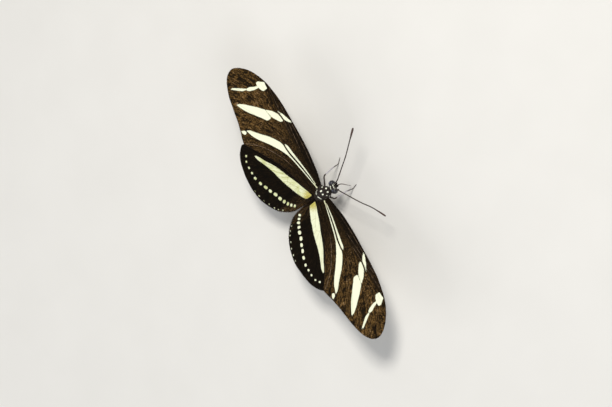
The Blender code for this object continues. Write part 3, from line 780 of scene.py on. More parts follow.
# %% Wings
SHEET_HALF = 0.035
VEIN_RIDGE, VEIN_WIDTH = 0.07, 0.13
SAG, SAG_WIDTH = 0.1, 0.8
WAVE_HEIGHT, WAVE_REACH = 0.07, 2.5
WAVE_TURNS = (0.83, 0.61)            # radians for each millimetre outward and forward
INNER_STAGGER = 0.15
HIND_SHADE_SHARE = {"l": 1.0, "r": 0.3}    # painted shade on the hindwing bands, more on the left, where light falls flatter
CHART_SHIFT, FLOW_SHIFT = 3.7, 5.1   # give left and right each their own noise
RIDGE_TAPER = {"fore": 45.0, "hind": 24.0}    # place outward where ridges are lowest
STORED = ("vein", "pale", "bright", "warm", "ochre", "red", "line_share", "hind")


def sheet_middle(places, vein, edge, kind, side):
    """Height of the membrane's middle over the wing's plain arch."""
    sag = -SAG * (1.0 - np.exp(-(vein / SAG_WIDTH) ** 2))
    wave = np.sin(places[:, 0] * WAVE_TURNS[0] + 1.3 * side)
    wave = WAVE_HEIGHT * wave * np.sin(places[:, 1] * WAVE_TURNS[1] + 0.5)
    middle = sag + wave * ease(edge, WAVE_REACH, 0.0)
    if kind == "hind":
        middle = middle + side * INNER_STAGGER * ease(-places[:, 0], 1.0, 2.2)
    return middle


def build_wing(kind, label):
    plan, side = plans[kind], SIDES[label]
    net, vein, edge = plan["net"], plan["vein"], plan["edge"]
    taper = 1.5 - 0.9 * np.clip(net[:, 0] / RIDGE_TAPER[kind], 0.0, 1.0)
    ridge = VEIN_RIDGE * taper * np.exp(-(vein / VEIN_WIDTH) ** 2) * ease(edge, 0.0, 0.5)
    middle = sheet_middle(net, vein, edge, kind, side)
    top = wing_place(net, middle + SHEET_HALF + ridge, kind, side)
    bottom = wing_place(net, middle - SHEET_HALF - ridge, kind, side)
    count = len(net)
    upper = [t if side > 0 else t[::-1] for t in plan["triangles"]]
    lower = [tuple(count + i for i in reversed(t)) for t in upper]
    directed = {(t[i], t[(i + 1) % 3]) for t in upper for i in range(3)}
    rim = [(b, a, count + a, count + b) for a, b in sorted(directed) if (b, a) not in directed]
    values = {key: np.tile(plan[key], 2) for key in STORED}
    # hind now also carries the share of painted shade on the band
    values["hind"] = values["hind"] * HIND_SHADE_SHARE[label]
    values["under"] = np.repeat([0.0, 1.0], count)
    values["chart"] = np.tile(np.column_stack([net, np.full(count, CHART_SHIFT * side)]), (2, 1))
    values["flow"] = np.tile(plan["flow"] + np.array((0.0, 0.0, FLOW_SHIFT * side)), (2, 1))
    node = "wing_" + kind + "_" + label
    return make_piece(node + "_scaled", np.vstack([top, bottom]), upper + lower + rim, wing_finish,
                      (node,), values)


for kind in ("fore", "hind"):
    for label in SIDES:
        build_wing(kind, label)

# %% [markdown]
# Thorax, head and abdomen are one skin on the living insect, so they become one mesh here.
# Each form is made on its own first, as a stack of rings: a body by its sections, a limb
# as a tube along a path, a head as a ball. The skin lies under the surface of the packed
# solids by the depth of the fur that covers it.

# %% Stacks of rings
SKIN_UNDER = {"thorax": 0.14, "head": 0.09, "abdomen": 0.09}


def on_body(places):
    """Places (forward, left, height) from the hinge line, as places in space."""
    places = np.atleast_2d(np.array(places, float))
    return np.column_stack([HINGE[0] + places[:, 1], HINGE[1] - places[:, 0], HINGE[2] + places[:, 2]])


def to_body(points):
    """The reverse: places in space as (forward, left, height)."""
    return np.column_stack([HINGE[1] - points[:, 1], points[:, 0] - HINGE[0], points[:, 2] - HINGE[2]])


def loft(rings):
    """Points and faces of a closed skin over rings of equal count."""
    rows, sides = len(rings), len(rings[0])
    points = np.vstack(rings)
    faces = []
    for k in range(rows - 1):
        for i in range(sides):
            j = (i + 1) % sides
            faces.append((k * sides + i, k * sides + j, (k + 1) * sides + j, (k + 1) * sides + i))
    faces.append(tuple(range(sides))[::-1])
    faces.append(tuple((rows - 1) * sides + i for i in range(sides)))
    return points, faces


def tube(path, radii, sides):
    """A round limb along a path, its frame carried on without a twist."""
    path = np.asarray(path)
    ways = np.gradient(path, axis=0)
    ways /= np.linalg.norm(ways, axis=1)[:, None]
    side = np.cross(ways[0], (0.0, 0.0, 1.0))
    if np.linalg.norm(side) < 0.1:
        side = np.cross(ways[0], (1.0, 0.0, 0.0))
    angle = np.arange(sides) * math.tau / sides
    rings = []
    for centre, way, radius in zip(path, ways, radii):
        side = side - way * (side @ way)
        side /= np.linalg.norm(side)
        other = np.cross(way, side)
        ring = np.outer(np.cos(angle), side) + np.outer(np.sin(angle), other)
        rings.append(centre + radius * ring)
    return loft(rings)


def ball(centre, half, yaw=0.0, rows=18, sides=28):
    """An ellipsoid by its half sizes forward, sideways and up."""
    rise = np.linspace(-math.pi / 2, math.pi / 2, rows + 2)[1:-1]
    angle = np.arange(sides) * math.tau / sides
    rings = []
    for r in rise:
        sideways = half[1] * math.cos(r) * np.cos(angle)
        back = half[0] * math.cos(r) * np.sin(angle)
        x = sideways * math.cos(yaw) - back * math.sin(yaw)
        y = sideways * math.sin(yaw) + back * math.cos(yaw)
        rings.append(np.column_stack([x, y, np.full(sides, half[2] * math.sin(r))]) + centre)
    return loft(rings)


print("a ball has", len(ball((0.0, 0.0, 0.0), (1.0, 1.0, 1.0))[1]), "faces")

# %% [markdown]
# The thorax is a loft: each ring has a place along the body, a height, and half of its
# width and depth. A collar and a cross groove part its sections, and a fine groove runs
# along the middle of the back. They are made by drawing the rings in a little.

# %% Thorax
THORAX_RINGS = [
    (2.1, -1.45, 0.75, 0.85), (1.8, -1.35, 1.25, 1.35), (1.15, -1.15, 1.85, 1.9), (0.35, -1.0, 2.25, 2.25),
    (-0.6, -1.0, 2.35, 2.35), (-1.6, -1.15, 2.2, 2.2), (-2.5, -1.45, 1.8, 1.9), (-3.2, -1.8, 1.3, 1.45),
    (-3.65, -2.15, 0.85, 0.95)]
THORAX_STEP, THORAX_SIDES = 0.12, 72
# Depth, place along the body and half width
COLLAR = (0.12, 1.45, 0.16)
CROSS_GROOVE = (0.10, -1.95, 0.13)
BACK_GROOVE_DEPTH, BACK_GROOVE_HALF = 0.07, 0.14
MEAN_RADIUS = 2.2


def thorax_form():
    inset = SKIN_UNDER["thorax"]
    angle = np.arange(THORAX_SIDES) * math.tau / THORAX_SIDES
    rings = []
    for forward, height, half_width, half_depth in smooth_curve(THORAX_RINGS, THORAX_STEP):
        top = np.clip(np.sin(angle), 0.0, 1.0)
        left, up = (half_width - inset) * np.cos(angle), (half_depth - inset) * np.sin(angle)
        back = BACK_GROOVE_DEPTH * top * np.exp(-(left / BACK_GROOVE_HALF) ** 2)
        back = back * ease(-abs(forward + 0.2), -1.7, -0.6)
        shrink = 1.0 - (swell(forward, *COLLAR) + swell(forward, *CROSS_GROOVE) * top + back) / MEAN_RADIUS
        ring = np.column_stack([np.full(THORAX_SIDES, forward), left * shrink, height + up * shrink])
        rings.append(on_body(ring))
    return loft(rings)


print("thorax:", len(thorax_form()[1]), "faces")

# %% [markdown]
# The abdomen hangs from the thorax and levels out to rest its tip on the floor, so its
# slope changes evenly along its length. It is a tube of nine rings, and each ring's hind
# edge stands up as a lip over the next one. Its first points reach into the thorax, which
# lets the two fuse.

# %% Abdomen
ABDOMEN_START = (-3.95, -2.75)
ABDOMEN_LENGTH = 16.8
ABDOMEN_SLOPES = (44.0, 10.5)
ABDOMEN_SEGMENTS = 9
ABDOMEN_STEPS, ABDOMEN_SIDES = 14, 40        # steps for each segment, corners of each ring
ABDOMEN_RADII = [0.85, 1.2, 1.36, 1.38, 1.36, 1.32, 1.26, 1.15, 0.95, 0.62]
LIP_HEIGHT, FOLD_DEPTH, FOLD_WIDTH = 0.07, 0.06, 0.10
LAST_LIP = 0.97                              # share of the length behind which it is smooth
ROOT_POINTS = ((1.6, 0.0, 1.3), (0.8, 0.0, 0.65))
ROOT_RADII = [0.8, 0.85]


def abdomen_slope(share):
    return np.radians(ABDOMEN_SLOPES[0] + (ABDOMEN_SLOPES[1] - ABDOMEN_SLOPES[0]) * share)


def abdomen_line():
    """The middle line of the abdomen and its packed radius, in fine steps."""
    steps = ABDOMEN_SEGMENTS * ABDOMEN_STEPS
    share = np.arange(steps + 1) / steps
    slope = abdomen_slope(share)
    run = ABDOMEN_LENGTH / steps
    forward = ABDOMEN_START[0] - np.concatenate([[0.0], np.cumsum(run * np.cos(slope[:-1]))])
    height = ABDOMEN_START[1] - np.concatenate([[0.0], np.cumsum(run * np.sin(slope[:-1]))])
    radius = np.interp(share * (len(ABDOMEN_RADII) - 1), range(len(ABDOMEN_RADII)), ABDOMEN_RADII)
    return np.column_stack([forward, np.zeros(steps + 1), height]), radius, share


def abdomen_form():
    line, radius, share = abdomen_line()
    place = share * ABDOMEN_SEGMENTS % 1.0
    lip = LIP_HEIGHT * place ** 3 - FOLD_DEPTH * np.exp(-(place / FOLD_WIDTH) ** 2)
    lip[share > LAST_LIP] = 0.0
    radii = radius - SKIN_UNDER["abdomen"] + lip - 0.02
    line = np.vstack([line[0] + ROOT_POINTS[0], line[0] + ROOT_POINTS[1], line])
    points, faces = tube(on_body(line), np.concatenate([ROOT_RADII, radii]), ABDOMEN_SIDES)
    points[:, 2] = np.maximum(points[:, 2], 0.02)
    return points, faces


print("abdomen:", len(abdomen_form()[1]), "faces")

# %% [markdown]
# The head is a ball between two big eyes, turned a little to the right. A ring of skin
# stands round each eye, a raised face and a knob between the feelers give it its profile,
# and two palps curve up before it. Small balls at the sides of the thorax are the hips and
# the plates over the wing hinges.

# %% Head, hips and palps
HEAD_CENTRE = (3.25, -0.05, -1.75)
HEAD_HALF = (1.1, 1.0, 1.2)
HEAD_YAW = math.radians(-10.0)
EYE_OFFSET = (0.1, 1.2, 0.1)
EYE_HALF = (1.05, 0.95, 1.15)
ORBIT_OFFSET, ORBIT_HALF = 0.66, (0.98, 0.52, 1.06)
PALP_PATH = [(3.6, 0.36, -2.35), (4.35, 0.38, -2.4), (4.9, 0.38, -1.8), (5.15, 0.36, -1.1)]
PALP_RADII = [0.22, 0.26, 0.22, 0.08]
PALP_STEP, PALP_SIDES = 0.12, 14
KNOB_ROWS = 12
# Centre (forward, left, height), half sizes and turn of the knobs on the middle line
MIDDLE_KNOBS = [
    ((2.35, -0.02, -1.6), (0.9, 0.62, 0.75), 0.0),          # neck
    ((4.05, -0.15, -1.95), (0.42, 0.6, 0.75), HEAD_YAW),    # face
    ((3.75, -0.13, -1.0), (0.4, 0.62, 0.3), HEAD_YAW)]      # between the feelers
# The same for the left one of each pair
PAIRED_KNOBS = [
    ((0.55, 1.72, 0.12), (0.85, 0.36, 0.42), 0.25),         # plate over the wing hinge
    ((-0.3, 1.05, -2.75), (0.75, 0.5, 0.6), 0.0),           # middle hip
    ((-1.85, 1.0, -2.7), (0.75, 0.5, 0.6), 0.0),            # hind hip
    ((1.05, 0.75, -2.55), (0.4, 0.32, 0.5), 0.0)]           # front hip


def knob(centre, half, yaw, side=1):
    forward, left, height = centre
    return ball(on_body((forward, left * side, height))[0], half, yaw * side, KNOB_ROWS)


def orbit_form(side):
    """The ring of skin that an eye sits in."""
    middle = on_body((HEAD_CENTRE[0], HEAD_CENTRE[1], HEAD_CENTRE[2] + EYE_OFFSET[2]))[0]
    middle += side * ORBIT_OFFSET * np.array((math.cos(HEAD_YAW), math.sin(HEAD_YAW), 0.0))
    return ball(middle, ORBIT_HALF, HEAD_YAW)


def palp_form(side):
    palp = smooth_curve([(f, l * side, h) for f, l, h in PALP_PATH], PALP_STEP)
    given = share_along(np.array(PALP_PATH))
    return tube(on_body(palp), np.interp(share_along(palp), given, PALP_RADII), PALP_SIDES)


def body_forms():
    head_half = np.array(HEAD_HALF) - SKIN_UNDER["head"]
    forms = [thorax_form(), abdomen_form(), ball(on_body(HEAD_CENTRE)[0], head_half, HEAD_YAW)]
    forms += [knob(*shape) for shape in MIDDLE_KNOBS]
    for side in (1, -1):
        forms += [knob(*shape, side) for shape in PAIRED_KNOBS]
        forms += [orbit_form(side), palp_form(side)]
    return forms


print("forms of the body:", len(body_forms()))

# %% [markdown]
# A voxel remesh fuses the forms and leaves soft folds where they meet, which a mesh that
# is cut and joined wouldn't have. It works on the mesh in millimetres, since its finest
# voxel would be too coarse in metres. A few rounds of smoothing take away the small steps
# that voxels leave.

# %% One skin
VOXEL = 0.075
RELAX_ROUNDS = 4


def fused(forms, voxel, rounds):
    """All forms as one closed skin."""
    points, faces, start = [], [], 0
    for form_points, form_faces in forms:
        points.append(form_points)
        faces += [tuple(start + i for i in face) for face in form_faces]
        start += len(form_points)
    mesh = bpy.data.meshes.new("forms")
    mesh.from_pydata(np.vstack(points).tolist(), [], faces)
    holder = bpy.data.objects.new("forms", mesh)
    bpy.context.scene.collection.objects.link(holder)
    remesh = holder.modifiers.new("fuse", "REMESH")
    remesh.mode = "VOXEL"
    remesh.voxel_size = voxel
    relax = holder.modifiers.new("relax", "SMOOTH")
    relax.factor = 0.5
    relax.iterations = rounds
    seen = bpy.context.evaluated_depsgraph_get()
    result = bpy.data.meshes.new_from_object(holder.evaluated_get(seen))
    bpy.data.objects.remove(holder, do_unlink=True)
    spots = np.empty(len(result.vertices) * 3)
    result.vertices.foreach_get("co", spots)
    joined = [tuple(face.vertices) for face in result.polygons]
    bpy.data.meshes.remove(result)
    return spots.reshape(-1, 3), joined


skin_points, skin_faces = fused(body_forms(), VOXEL, RELAX_ROUNDS)
print("skin:", len(skin_points), "points,", len(skin_faces), "faces")

# %% [markdown]
# The white spots of the thorax and the head are short strokes on the surface, each with a
# start, an end and a half width. The distance to the nearest stroke is stored on the skin
# and, later, on each tuft of fur, so both carry the same marks.

# %% Spots of the thorax and head
# Start and end (forward, left, height), half width
BODY_STROKES = [
    ((1.05, 1.65, 0.0), (0.9, 1.5, 0.12), 0.26), ((1.9, 0.62, -0.25), (1.75, 0.5, -0.15), 0.28),
    ((0.55, 0.5, 1.1), (0.4, 0.45, 1.14), 0.28), ((1.78, -0.72, -0.15), (1.66, -0.66, -0.05), 0.26),
    ((0.45, -0.75, 1.07), (0.33, -0.7, 1.1), 0.25), ((1.0, -1.6, 0.05), (0.88, -1.55, 0.12), 0.24),
    ((-1.5, 0.6, 0.97), (-1.35, 1.15, 0.8), 0.23), ((-1.35, 1.15, 0.8), (-0.75, 1.6, 0.6), 0.2),
    ((-1.45, -0.45, 1.02), (-1.3, -1.05, 0.9), 0.2), ((-1.3, -1.05, 0.9), (-1.05, -1.55, 0.66), 0.18),
    ((0.15, 1.95, 0.15), (0.35, 1.93, 0.12), 0.2), ((0.1, -2.0, 0.1), (0.25, -1.98, 0.1), 0.2),
    ((3.02, 0.5, -0.72), (2.7, -0.1, -0.78), 0.16), ((2.7, -0.1, -0.78), (2.66, -0.72, -0.98), 0.15),
    ((4.0, 0.6, -0.95), (3.86, 0.1, -0.8), 0.15), ((3.86, -0.3, -0.8), (3.78, -0.9, -0.85), 0.15),
    ((2.45, 1.05, -1.2), (2.5, 1.2, -1.9), 0.1), ((2.3, -1.1, -1.2), (2.3, -1.25, -1.9), 0.1),
    ((1.2, 1.85, -1.0), (1.0, 1.95, -1.3), 0.2), ((-0.4, 2.2, -1.0), (-0.6, 2.2, -1.3), 0.22),
    ((1.2, -1.85, -1.0), (1.0, -1.95, -1.3), 0.2), ((-0.4, -2.2, -1.0), (-0.6, -2.2, -1.3), 0.22),
    ((0.3, 1.7, -2.2), (0.1, 1.75, -2.1), 0.2), ((0.3, -1.7, -2.2), (0.1, -1.75, -2.1), 0.2),
    ((-1.7, 1.75, -1.9), (-1.9, 1.7, -2.0), 0.2), ((-1.7, -1.75, -1.9), (-1.9, -1.7, -2.0), 0.2),
    ((4.5, 0.4, -2.15), (4.75, 0.4, -1.9), 0.09), ((4.5, -0.4, -2.15), (4.75, -0.4, -1.9), 0.09)]
NOWHERE = -9.0                       # deep outside of any mark


def stroke_depth(places):
    """How deep each place lies inside the nearest stroke, below zero outside."""
    best = np.full(len(places), NOWHERE)
    for start, end, half in BODY_STROKES:
        best = np.maximum(best, half - line_distance(places, np.array([start, end])))
    return best


print("strokes on thorax and head:", len(BODY_STROKES))

# %% [markdown]
# The abdomen's marks repeat on every ring: a cream bar on each side, a dot on each side of
# its back, and a pale line along the belly. So a place is first turned into a share of the
# length and an angle from the top, and one formula then serves all nine rings.

# %% Bars of the abdomen
ROUND_RADIUS = 1.25                  # turns an angle into millimetres round the abdomen
BAR_HALF, BAR_ROUND = 0.17, 1.75     # half width, and way round from the top
DOT_HALF, DOT_ROUND = 0.13, 0.62
BELLY_LINE_HALF, BELLY_LINE_OFF = 0.28, 0.35
MARK_PLACE = 0.55                    # share of a ring's length at which its marks sit
MARKED_FROM, MARKED_TO = -4.6, 0.93  # place forward, and share of the abdomen
ABDOMEN_REACH = 1.7


def abdomen_share(places):
    """For each place: share along the abdomen, angle from its top, and way to its line."""
    line, _, share = abdomen_line()
    best = np.full(len(places), np.inf)
    found = np.zeros(len(places), int)
    for k in range(0, len(line), 2):
        away = np.linalg.norm(places - line[k], axis=1)
        nearer = away < best
        best[nearer], found[nearer] = away[nearer], k
    slope = abdomen_slope(share[found])
    off = places - line[found]
    along_top = off[:, 2] * np.cos(slope) - off[:, 0] * np.sin(slope)
    return share[found], np.arctan2(off[:, 1], along_top), best


def abdomen_depth(places):
    """Bars and dots on each ring and the pale belly line."""
    share, angle, away = abdomen_share(places)
    round_mm = np.abs(angle) * ROUND_RADIUS
    along_mm = (share * ABDOMEN_SEGMENTS % 1.0 - MARK_PLACE) * (ABDOMEN_LENGTH / ABDOMEN_SEGMENTS)
    bar = BAR_HALF - np.hypot(along_mm * 0.36, (round_mm - BAR_ROUND) * 0.9)
    dot = DOT_HALF - np.hypot(along_mm * 0.8, round_mm - DOT_ROUND)
    belly = BELLY_LINE_HALF - np.abs(round_mm - math.pi * ROUND_RADIUS + BELLY_LINE_OFF)
    on_it = (places[:, 0] < MARKED_FROM) & (away < ABDOMEN_REACH) & (share < MARKED_TO)
    return np.where(on_it, np.maximum.reduce([bar, dot, belly]), NOWHERE)


def body_depth(points):
    places = to_body(points)
    return np.maximum(stroke_depth(places), abdomen_depth(places))


skin_pale = body_depth(skin_points)
print("pale skin points:", int((skin_pale > 0).sum()))

# %% [markdown]
# Under its fur the skin is a hard brown-black shell. Little of it shows, but it darkens
# the gaps between the tufts, and it carries the same spots, so that no black shows
# through a white one. Its grain is a cell pattern, as on the wings.

# %% Finish of the skin
BODY_BLACK = (0.0075, 0.0065, 0.006)
BODY_BROWN = linear(52, 40, 32)
CREAM = linear(244, 246, 226)

skin_finish, wire, shader = finish("body_skin", Specular_IOR_Level=0.3)
place = place_in_mm(wire)
grain = place.cell_tone(11.0, 0.9)
cloud = place.noise(1.7, 3.0)
spot = (stored(wire, "pale") + (place.noise(5.0) - 0.5) * 0.08).step(-0.03, 0.04)
dark = mixed(cloud.step(0.4, 0.75) * 0.5 + grain * 0.25, BODY_BLACK, BODY_BROWN)
relief = grain * 0.6 + place.noise(14.0) * 0.4
feed(shader, Base_Color=mixed(spot, dark, CREAM), Roughness=0.5 + grain * 0.2,
     Normal=bumped(relief, 0.02, 0.7))
print("nodes in the finish of the skin:", len(skin_finish.node_tree.nodes))

# %% [markdown]
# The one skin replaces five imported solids. They are named, so that none of them shows
# beside it.

# %% Body skin
body_skin = make_piece("body_skin", skin_points, skin_faces, skin_finish,
                       ("thorax", "abdomen", "head", "palp_l", "palp_r"), {"pale": skin_pale})

# %% [markdown]
# The coat of a butterfly is made of scales drawn out into hairs. Each is modelled here as
# a small three-sided blade that is rooted in the skin, leaves it at a low angle and bends
# back along it. Hair curves would look the same in a picture but are no surface, so blades
# of real mesh are used, and one function grows them everywhere from roots, directions,
# lengths and widths.

# %% Blades of fur
BLADE_SIDES = 3
BLADE_FLATNESS = 0.45                # thickness as a share of the width
WAIST_WIDTH = 0.8                    # width half way up, as a share of the root's
ROOT_SUNK = 0.03
PATCH = 0.003                        # size of one blade's patch on the colour map


def unit(vectors):
    return vectors / np.maximum(np.linalg.norm(vectors, axis=1), 1e-9)[:, None]


def blade_points(roots, normals, lies, lengths, widths, lifts):
    """Three points at each root, three half way up and one at the tip."""
    lies = unit(lies - normals * (lies * normals).sum(1)[:, None])
    across = np.cross(normals, lies)
    first = lies * np.cos(lifts)[:, None] + normals * np.sin(lifts)[:, None]
    second = unit(lies + normals * np.sin(lifts * 0.25)[:, None])
    start = roots - normals * ROOT_SUNK
    middle = start + first * (lengths * 0.5)[:, None]
    rows = []
    for centre, width in ((start, 1.0), (middle, WAIST_WIDTH)):
        for k in range(BLADE_SIDES):
            angle = math.tau * k / BLADE_SIDES
            way = across * math.cos(angle) + normals * BLADE_FLATNESS * math.sin(angle)
            rows.append(centre + way * (widths * width / 2)[:, None])
    rows.append(middle + second * (lengths * 0.5)[:, None])
    points = np.stack(rows, axis=1).reshape(-1, 3)
    points[:, 2] = np.maximum(points[:, 2], 0.0)
    return points


def blade_faces(count, per):
    shape = []
    for k in range(BLADE_SIDES):
        j = (k + 1) % BLADE_SIDES
        shape += [(k, j, BLADE_SIDES + j), (k, BLADE_SIDES + j, BLADE_SIDES + k),
                  (BLADE_SIDES + k, BLADE_SIDES + j, 2 * BLADE_SIDES)]
    return (np.arange(count)[:, None, None] * per + np.array(shape)[None]).reshape(-1, 3)


def blade_patches(made, faces, spots, per):
    """The colour map: each blade is a small patch round its root's place."""
    angle = np.arange(per) % BLADE_SIDES * math.tau / BLADE_SIDES
    reach = np.where(np.arange(per) < BLADE_SIDES, 0.5, 0.3) * (np.arange(per) < 2 * BLADE_SIDES)
    local = np.column_stack([np.cos(angle) * reach, np.sin(angle) * reach]) * PATCH
    corner = np.repeat(spots, per, axis=0) + np.tile(local, (len(spots), 1))
    colour_map = made.data.uv_layers.new(name="OFBake")
    colour_map.data.foreach_set("uv", corner[faces.ravel()].ravel())


def grow_blades(name, roots, normals, lies, lengths, widths, lifts, pale, spots, material):
    """One mesh of blades: spots are their roots' places on the colour map, from 0 to 1."""
    count, per = len(roots), 2 * BLADE_SIDES + 1
    points = blade_points(roots, normals, lies, lengths, widths, lifts)
    faces = blade_faces(count, per)
    along = np.tile([0.0] * BLADE_SIDES + [0.5] * BLADE_SIDES + [1.0], count)
    tone = np.repeat(draw.random(count), per)
    values = {"pale": np.repeat(pale, per), "along": along, "tone": tone}
    made = make_piece(name, points, faces.tolist(), material, stored_values=values)
    blade_patches(made, faces, spots, per)
    return made


print("triangles in a blade:", len(blade_faces(1, 2 * BLADE_SIDES + 1)))

# %% [markdown]
# Roots are scattered over the skin by area, from a seeded draw. The skin is unwrapped, so
# that each blade can find its colour where it stands on the skin's own map.

# %% Roots on the skin
FOLD_ANGLE = 66.0                    # the unwrap cuts where the skin bends by more
ISLAND_GAP = 0.002


def unwrapped(piece_object):
    """Unwrap a piece by its own shape and give back the corner places."""
    bpy.context.view_layer.objects.active = piece_object
    piece_object.select_set(True)
    bpy.ops.object.mode_set(mode="EDIT")
    bpy.ops.mesh.select_all(action="SELECT")
    bpy.ops.uv.smart_project(angle_limit=math.radians(FOLD_ANGLE), island_margin=ISLAND_GAP)
    bpy.ops.object.mode_set(mode="OBJECT")
    piece_object.select_set(False)
    layer = piece_object.data.uv_layers.active
    places = np.empty(len(layer.data) * 2)
    layer.data.foreach_get("uv", places)
    return places.reshape(-1, 2)


class Skin:
    """The triangles of a skin, ready to be sown with roots."""

    def __init__(self, points, faces, corner_places):
        starts = np.concatenate([[0], np.cumsum([len(face) for face in faces])])[:-1]
        corners = [(start, start + k, start + k + 1) for start, face in zip(starts, faces)
                   for k in range(1, len(face) - 1)]
        self.corners = np.array(corners)
        flat = np.array([i for face in faces for i in face])
        self.triangles = flat[self.corners]
        self.points = points
        self.places = corner_places
        a, b, c = (points[self.triangles[:, k]] for k in range(3))
        cross = np.cross(b - a, c - a)
        self.area = np.linalg.norm(cross, axis=1) / 2
        normals = np.zeros_like(points)
        for k in range(3):
            np.add.at(normals, self.triangles[:, k], cross)
        self.normals = unit(normals)
        self.middles = (a + b + c) / 3

    def sown(self, density):
        """Roots at so many for each square millimetre, which may differ by triangle."""
        weight = self.area * density
        count = int(weight.sum())
        chosen = draw.choice(len(weight), count, p=weight / weight.sum())
        share = draw.random((count, 2))
        flip = share.sum(1) > 1
        share[flip] = 1 - share[flip]
        share = np.column_stack([1 - share.sum(1), share])[:, :, None]
        roots = (self.points[self.triangles[chosen]] * share).sum(1)
        normals = unit((self.normals[self.triangles[chosen]] * share).sum(1))
        spots = (self.places[self.corners[chosen]] * share[:, :, :1]).sum(1)
        return roots, normals, spots


body_sower = Skin(skin_points, skin_faces, unwrapped(body_skin))
print("skin area in square mm:", round(float(body_sower.area.sum()), 1))

# %% [markdown]
# Fur is black at its root and browner at its tip, and each blade has its own tone, which
# keeps a dark coat from looking like a solid mass. Blades that stand in a spot are cream.

# %% Finish of the fur
FUR_BLACK, FUR_BROWN = (0.006, 0.0052, 0.005), linear(74, 58, 46)
FUR_YELLOW = linear(222, 216, 180)

fur_finish, wire, shader = finish("fur", Roughness=0.5, Specular_IOR_Level=0.35)
along, tone = stored(wire, "along"), stored(wire, "tone")
dark = mixed(tone * 0.55 + along * 0.35, FUR_BLACK, FUR_BROWN)
light = mixed(tone * 0.5, CREAM, FUR_YELLOW)
feed(shader, Base_Color=mixed(stored(wire, "pale").step(-0.01, 0.02), dark, light))
print("nodes in the finish of the fur:", len(fur_finish.node_tree.nodes))

# %% [markdown]
# On the thorax the fur runs back and down the sides, and it is longest round the wing
# roots. The head has short tufts that stand up between the feelers and the finest ones on
# the face. The palps bristle forward. Near a spot the fur is shorter and flatter, which
# keeps the spot's edge clear.

# %% Coat of the thorax and head
FUR_DENSITY, FACE_DENSITY = 120.0, 190.0     # blades for each square millimetre
FUR_WIDTH, FACE_WIDTH = 0.036, 0.026
WAIST, HEAD_START, FACE_START = -3.9, 2.2, 2.3
CROWN_HEIGHT = -1.2
PALP_START, PALP_TOP = 4.35, -0.9
# Shortest length, and how much more the longest have
FUR_LENGTH, FACE_LENGTH, CROWN_LENGTH, PALP_LENGTH = (0.36, 0.2), (0.16, 0.1), (0.24, 0.16), (0.2, 0.12)
WING_ROOT_LENGTH = 0.3
UNRULY = 0.22
EYE_CLEAR = (0.92, 1.02, 1.12)       # half sizes of the bare patch under an eye
EYE_CLEAR_MORE = 1.03
SPOT_CLEAR = -0.22                   # fur that is nearer to a spot than this lies flat
SPOT_EDGE = 0.02


def eye_centre(side):
    forward, left, height = EYE_OFFSET
    x, y = left * side, -forward
    cosine, sine = math.cos(HEAD_YAW), math.sin(HEAD_YAW)
    return on_body(HEAD_CENTRE)[0] + (x * cosine - y * sine, x * sine + y * cosine, height)


def under_eye(points):
    """Whether each point lies under one of the eyes, where no fur grows."""
    eyes = [(points - eye_centre(side)) / EYE_CLEAR for side in (1, -1)]
    return np.min([np.linalg.norm(eye, axis=1) for eye in eyes], axis=0) < EYE_CLEAR_MORE


def some(length, count):
    """Lengths between the shortest and the longest, drawn at random."""
    return length[0] + length[1] * draw.random(count)


def front_coat():
    middle = to_body(body_sower.middles)[:, 0]
    density = np.where(middle < WAIST, 0.0, np.where(middle > HEAD_START, FACE_DENSITY, FUR_DENSITY))
    roots, normals, spots = body_sower.sown(density)
    forward, left, height = to_body(roots).T
    count = len(roots)
    face = forward > FACE_START
    crown = face & (height > CROWN_HEIGHT)
    palp = (forward > PALP_START) & (height < PALP_TOP)
    wing_root = np.exp(-((height - 0.1) / 0.5) ** 2) * (np.abs(left) > 1.3) * ~face
    outward = np.sign(left)
    # Ways in space: to the side, back, up
    lies = np.column_stack([outward * (0.25 + 1.3 * wing_root), np.where(face, -0.5, 1.0),
                            np.full(count, -0.35)])
    lies[crown] = np.column_stack([outward[crown] * 0.2, np.full(crown.sum(), -0.4), np.ones(crown.sum())])
    lies[palp] = (0.0, -0.35, 1.0)
    lies += draw.normal(0.0, UNRULY, (count, 3))
    lengths = some(FUR_LENGTH, count) + WING_ROOT_LENGTH * wing_root
    lengths[face] = some(FACE_LENGTH, face.sum())
    lengths[crown] = some(CROWN_LENGTH, crown.sum())
    lengths[palp] = some(PALP_LENGTH, palp.sum())
    pale = body_depth(roots) + draw.normal(0.0, SPOT_EDGE, count)
    near_spot = pale > SPOT_CLEAR
    lengths[near_spot] *= 0.55
    widths = np.where(face, FACE_WIDTH, FUR_WIDTH) * (0.8 + 0.4 * draw.random(count))
    lifts = np.radians(np.where(crown, 34.0, 20.0) + 12.0 * draw.random(count))
    lifts = lifts * np.where(near_spot, 0.45, 1.0)
    kept = ~under_eye(roots)
    return grow_blades("fur_thorax_head", roots[kept], normals[kept], lies[kept], lengths[kept],
                       widths[kept], lifts[kept], pale[kept], spots[kept], fur_finish)


front_coat()

# %% [markdown]
# The abdomen is covered by short flat scales that overlap like tiles and point to its end.
# They are the same blades, only wider and nearly lying down. At the root they grow longer
# and narrower to meet the fur of the thorax, and the last ones form a small brush.

# %% Coat of the abdomen
SCALE_DENSITY = 95.0
SCALE_WIDTH = 0.052
SCALE_LENGTH = (0.17, 0.08)
COAT_START = -3.7
ROOT_MORE, BRUSH_MORE = 0.25, 0.3    # extra length at the root and at the end


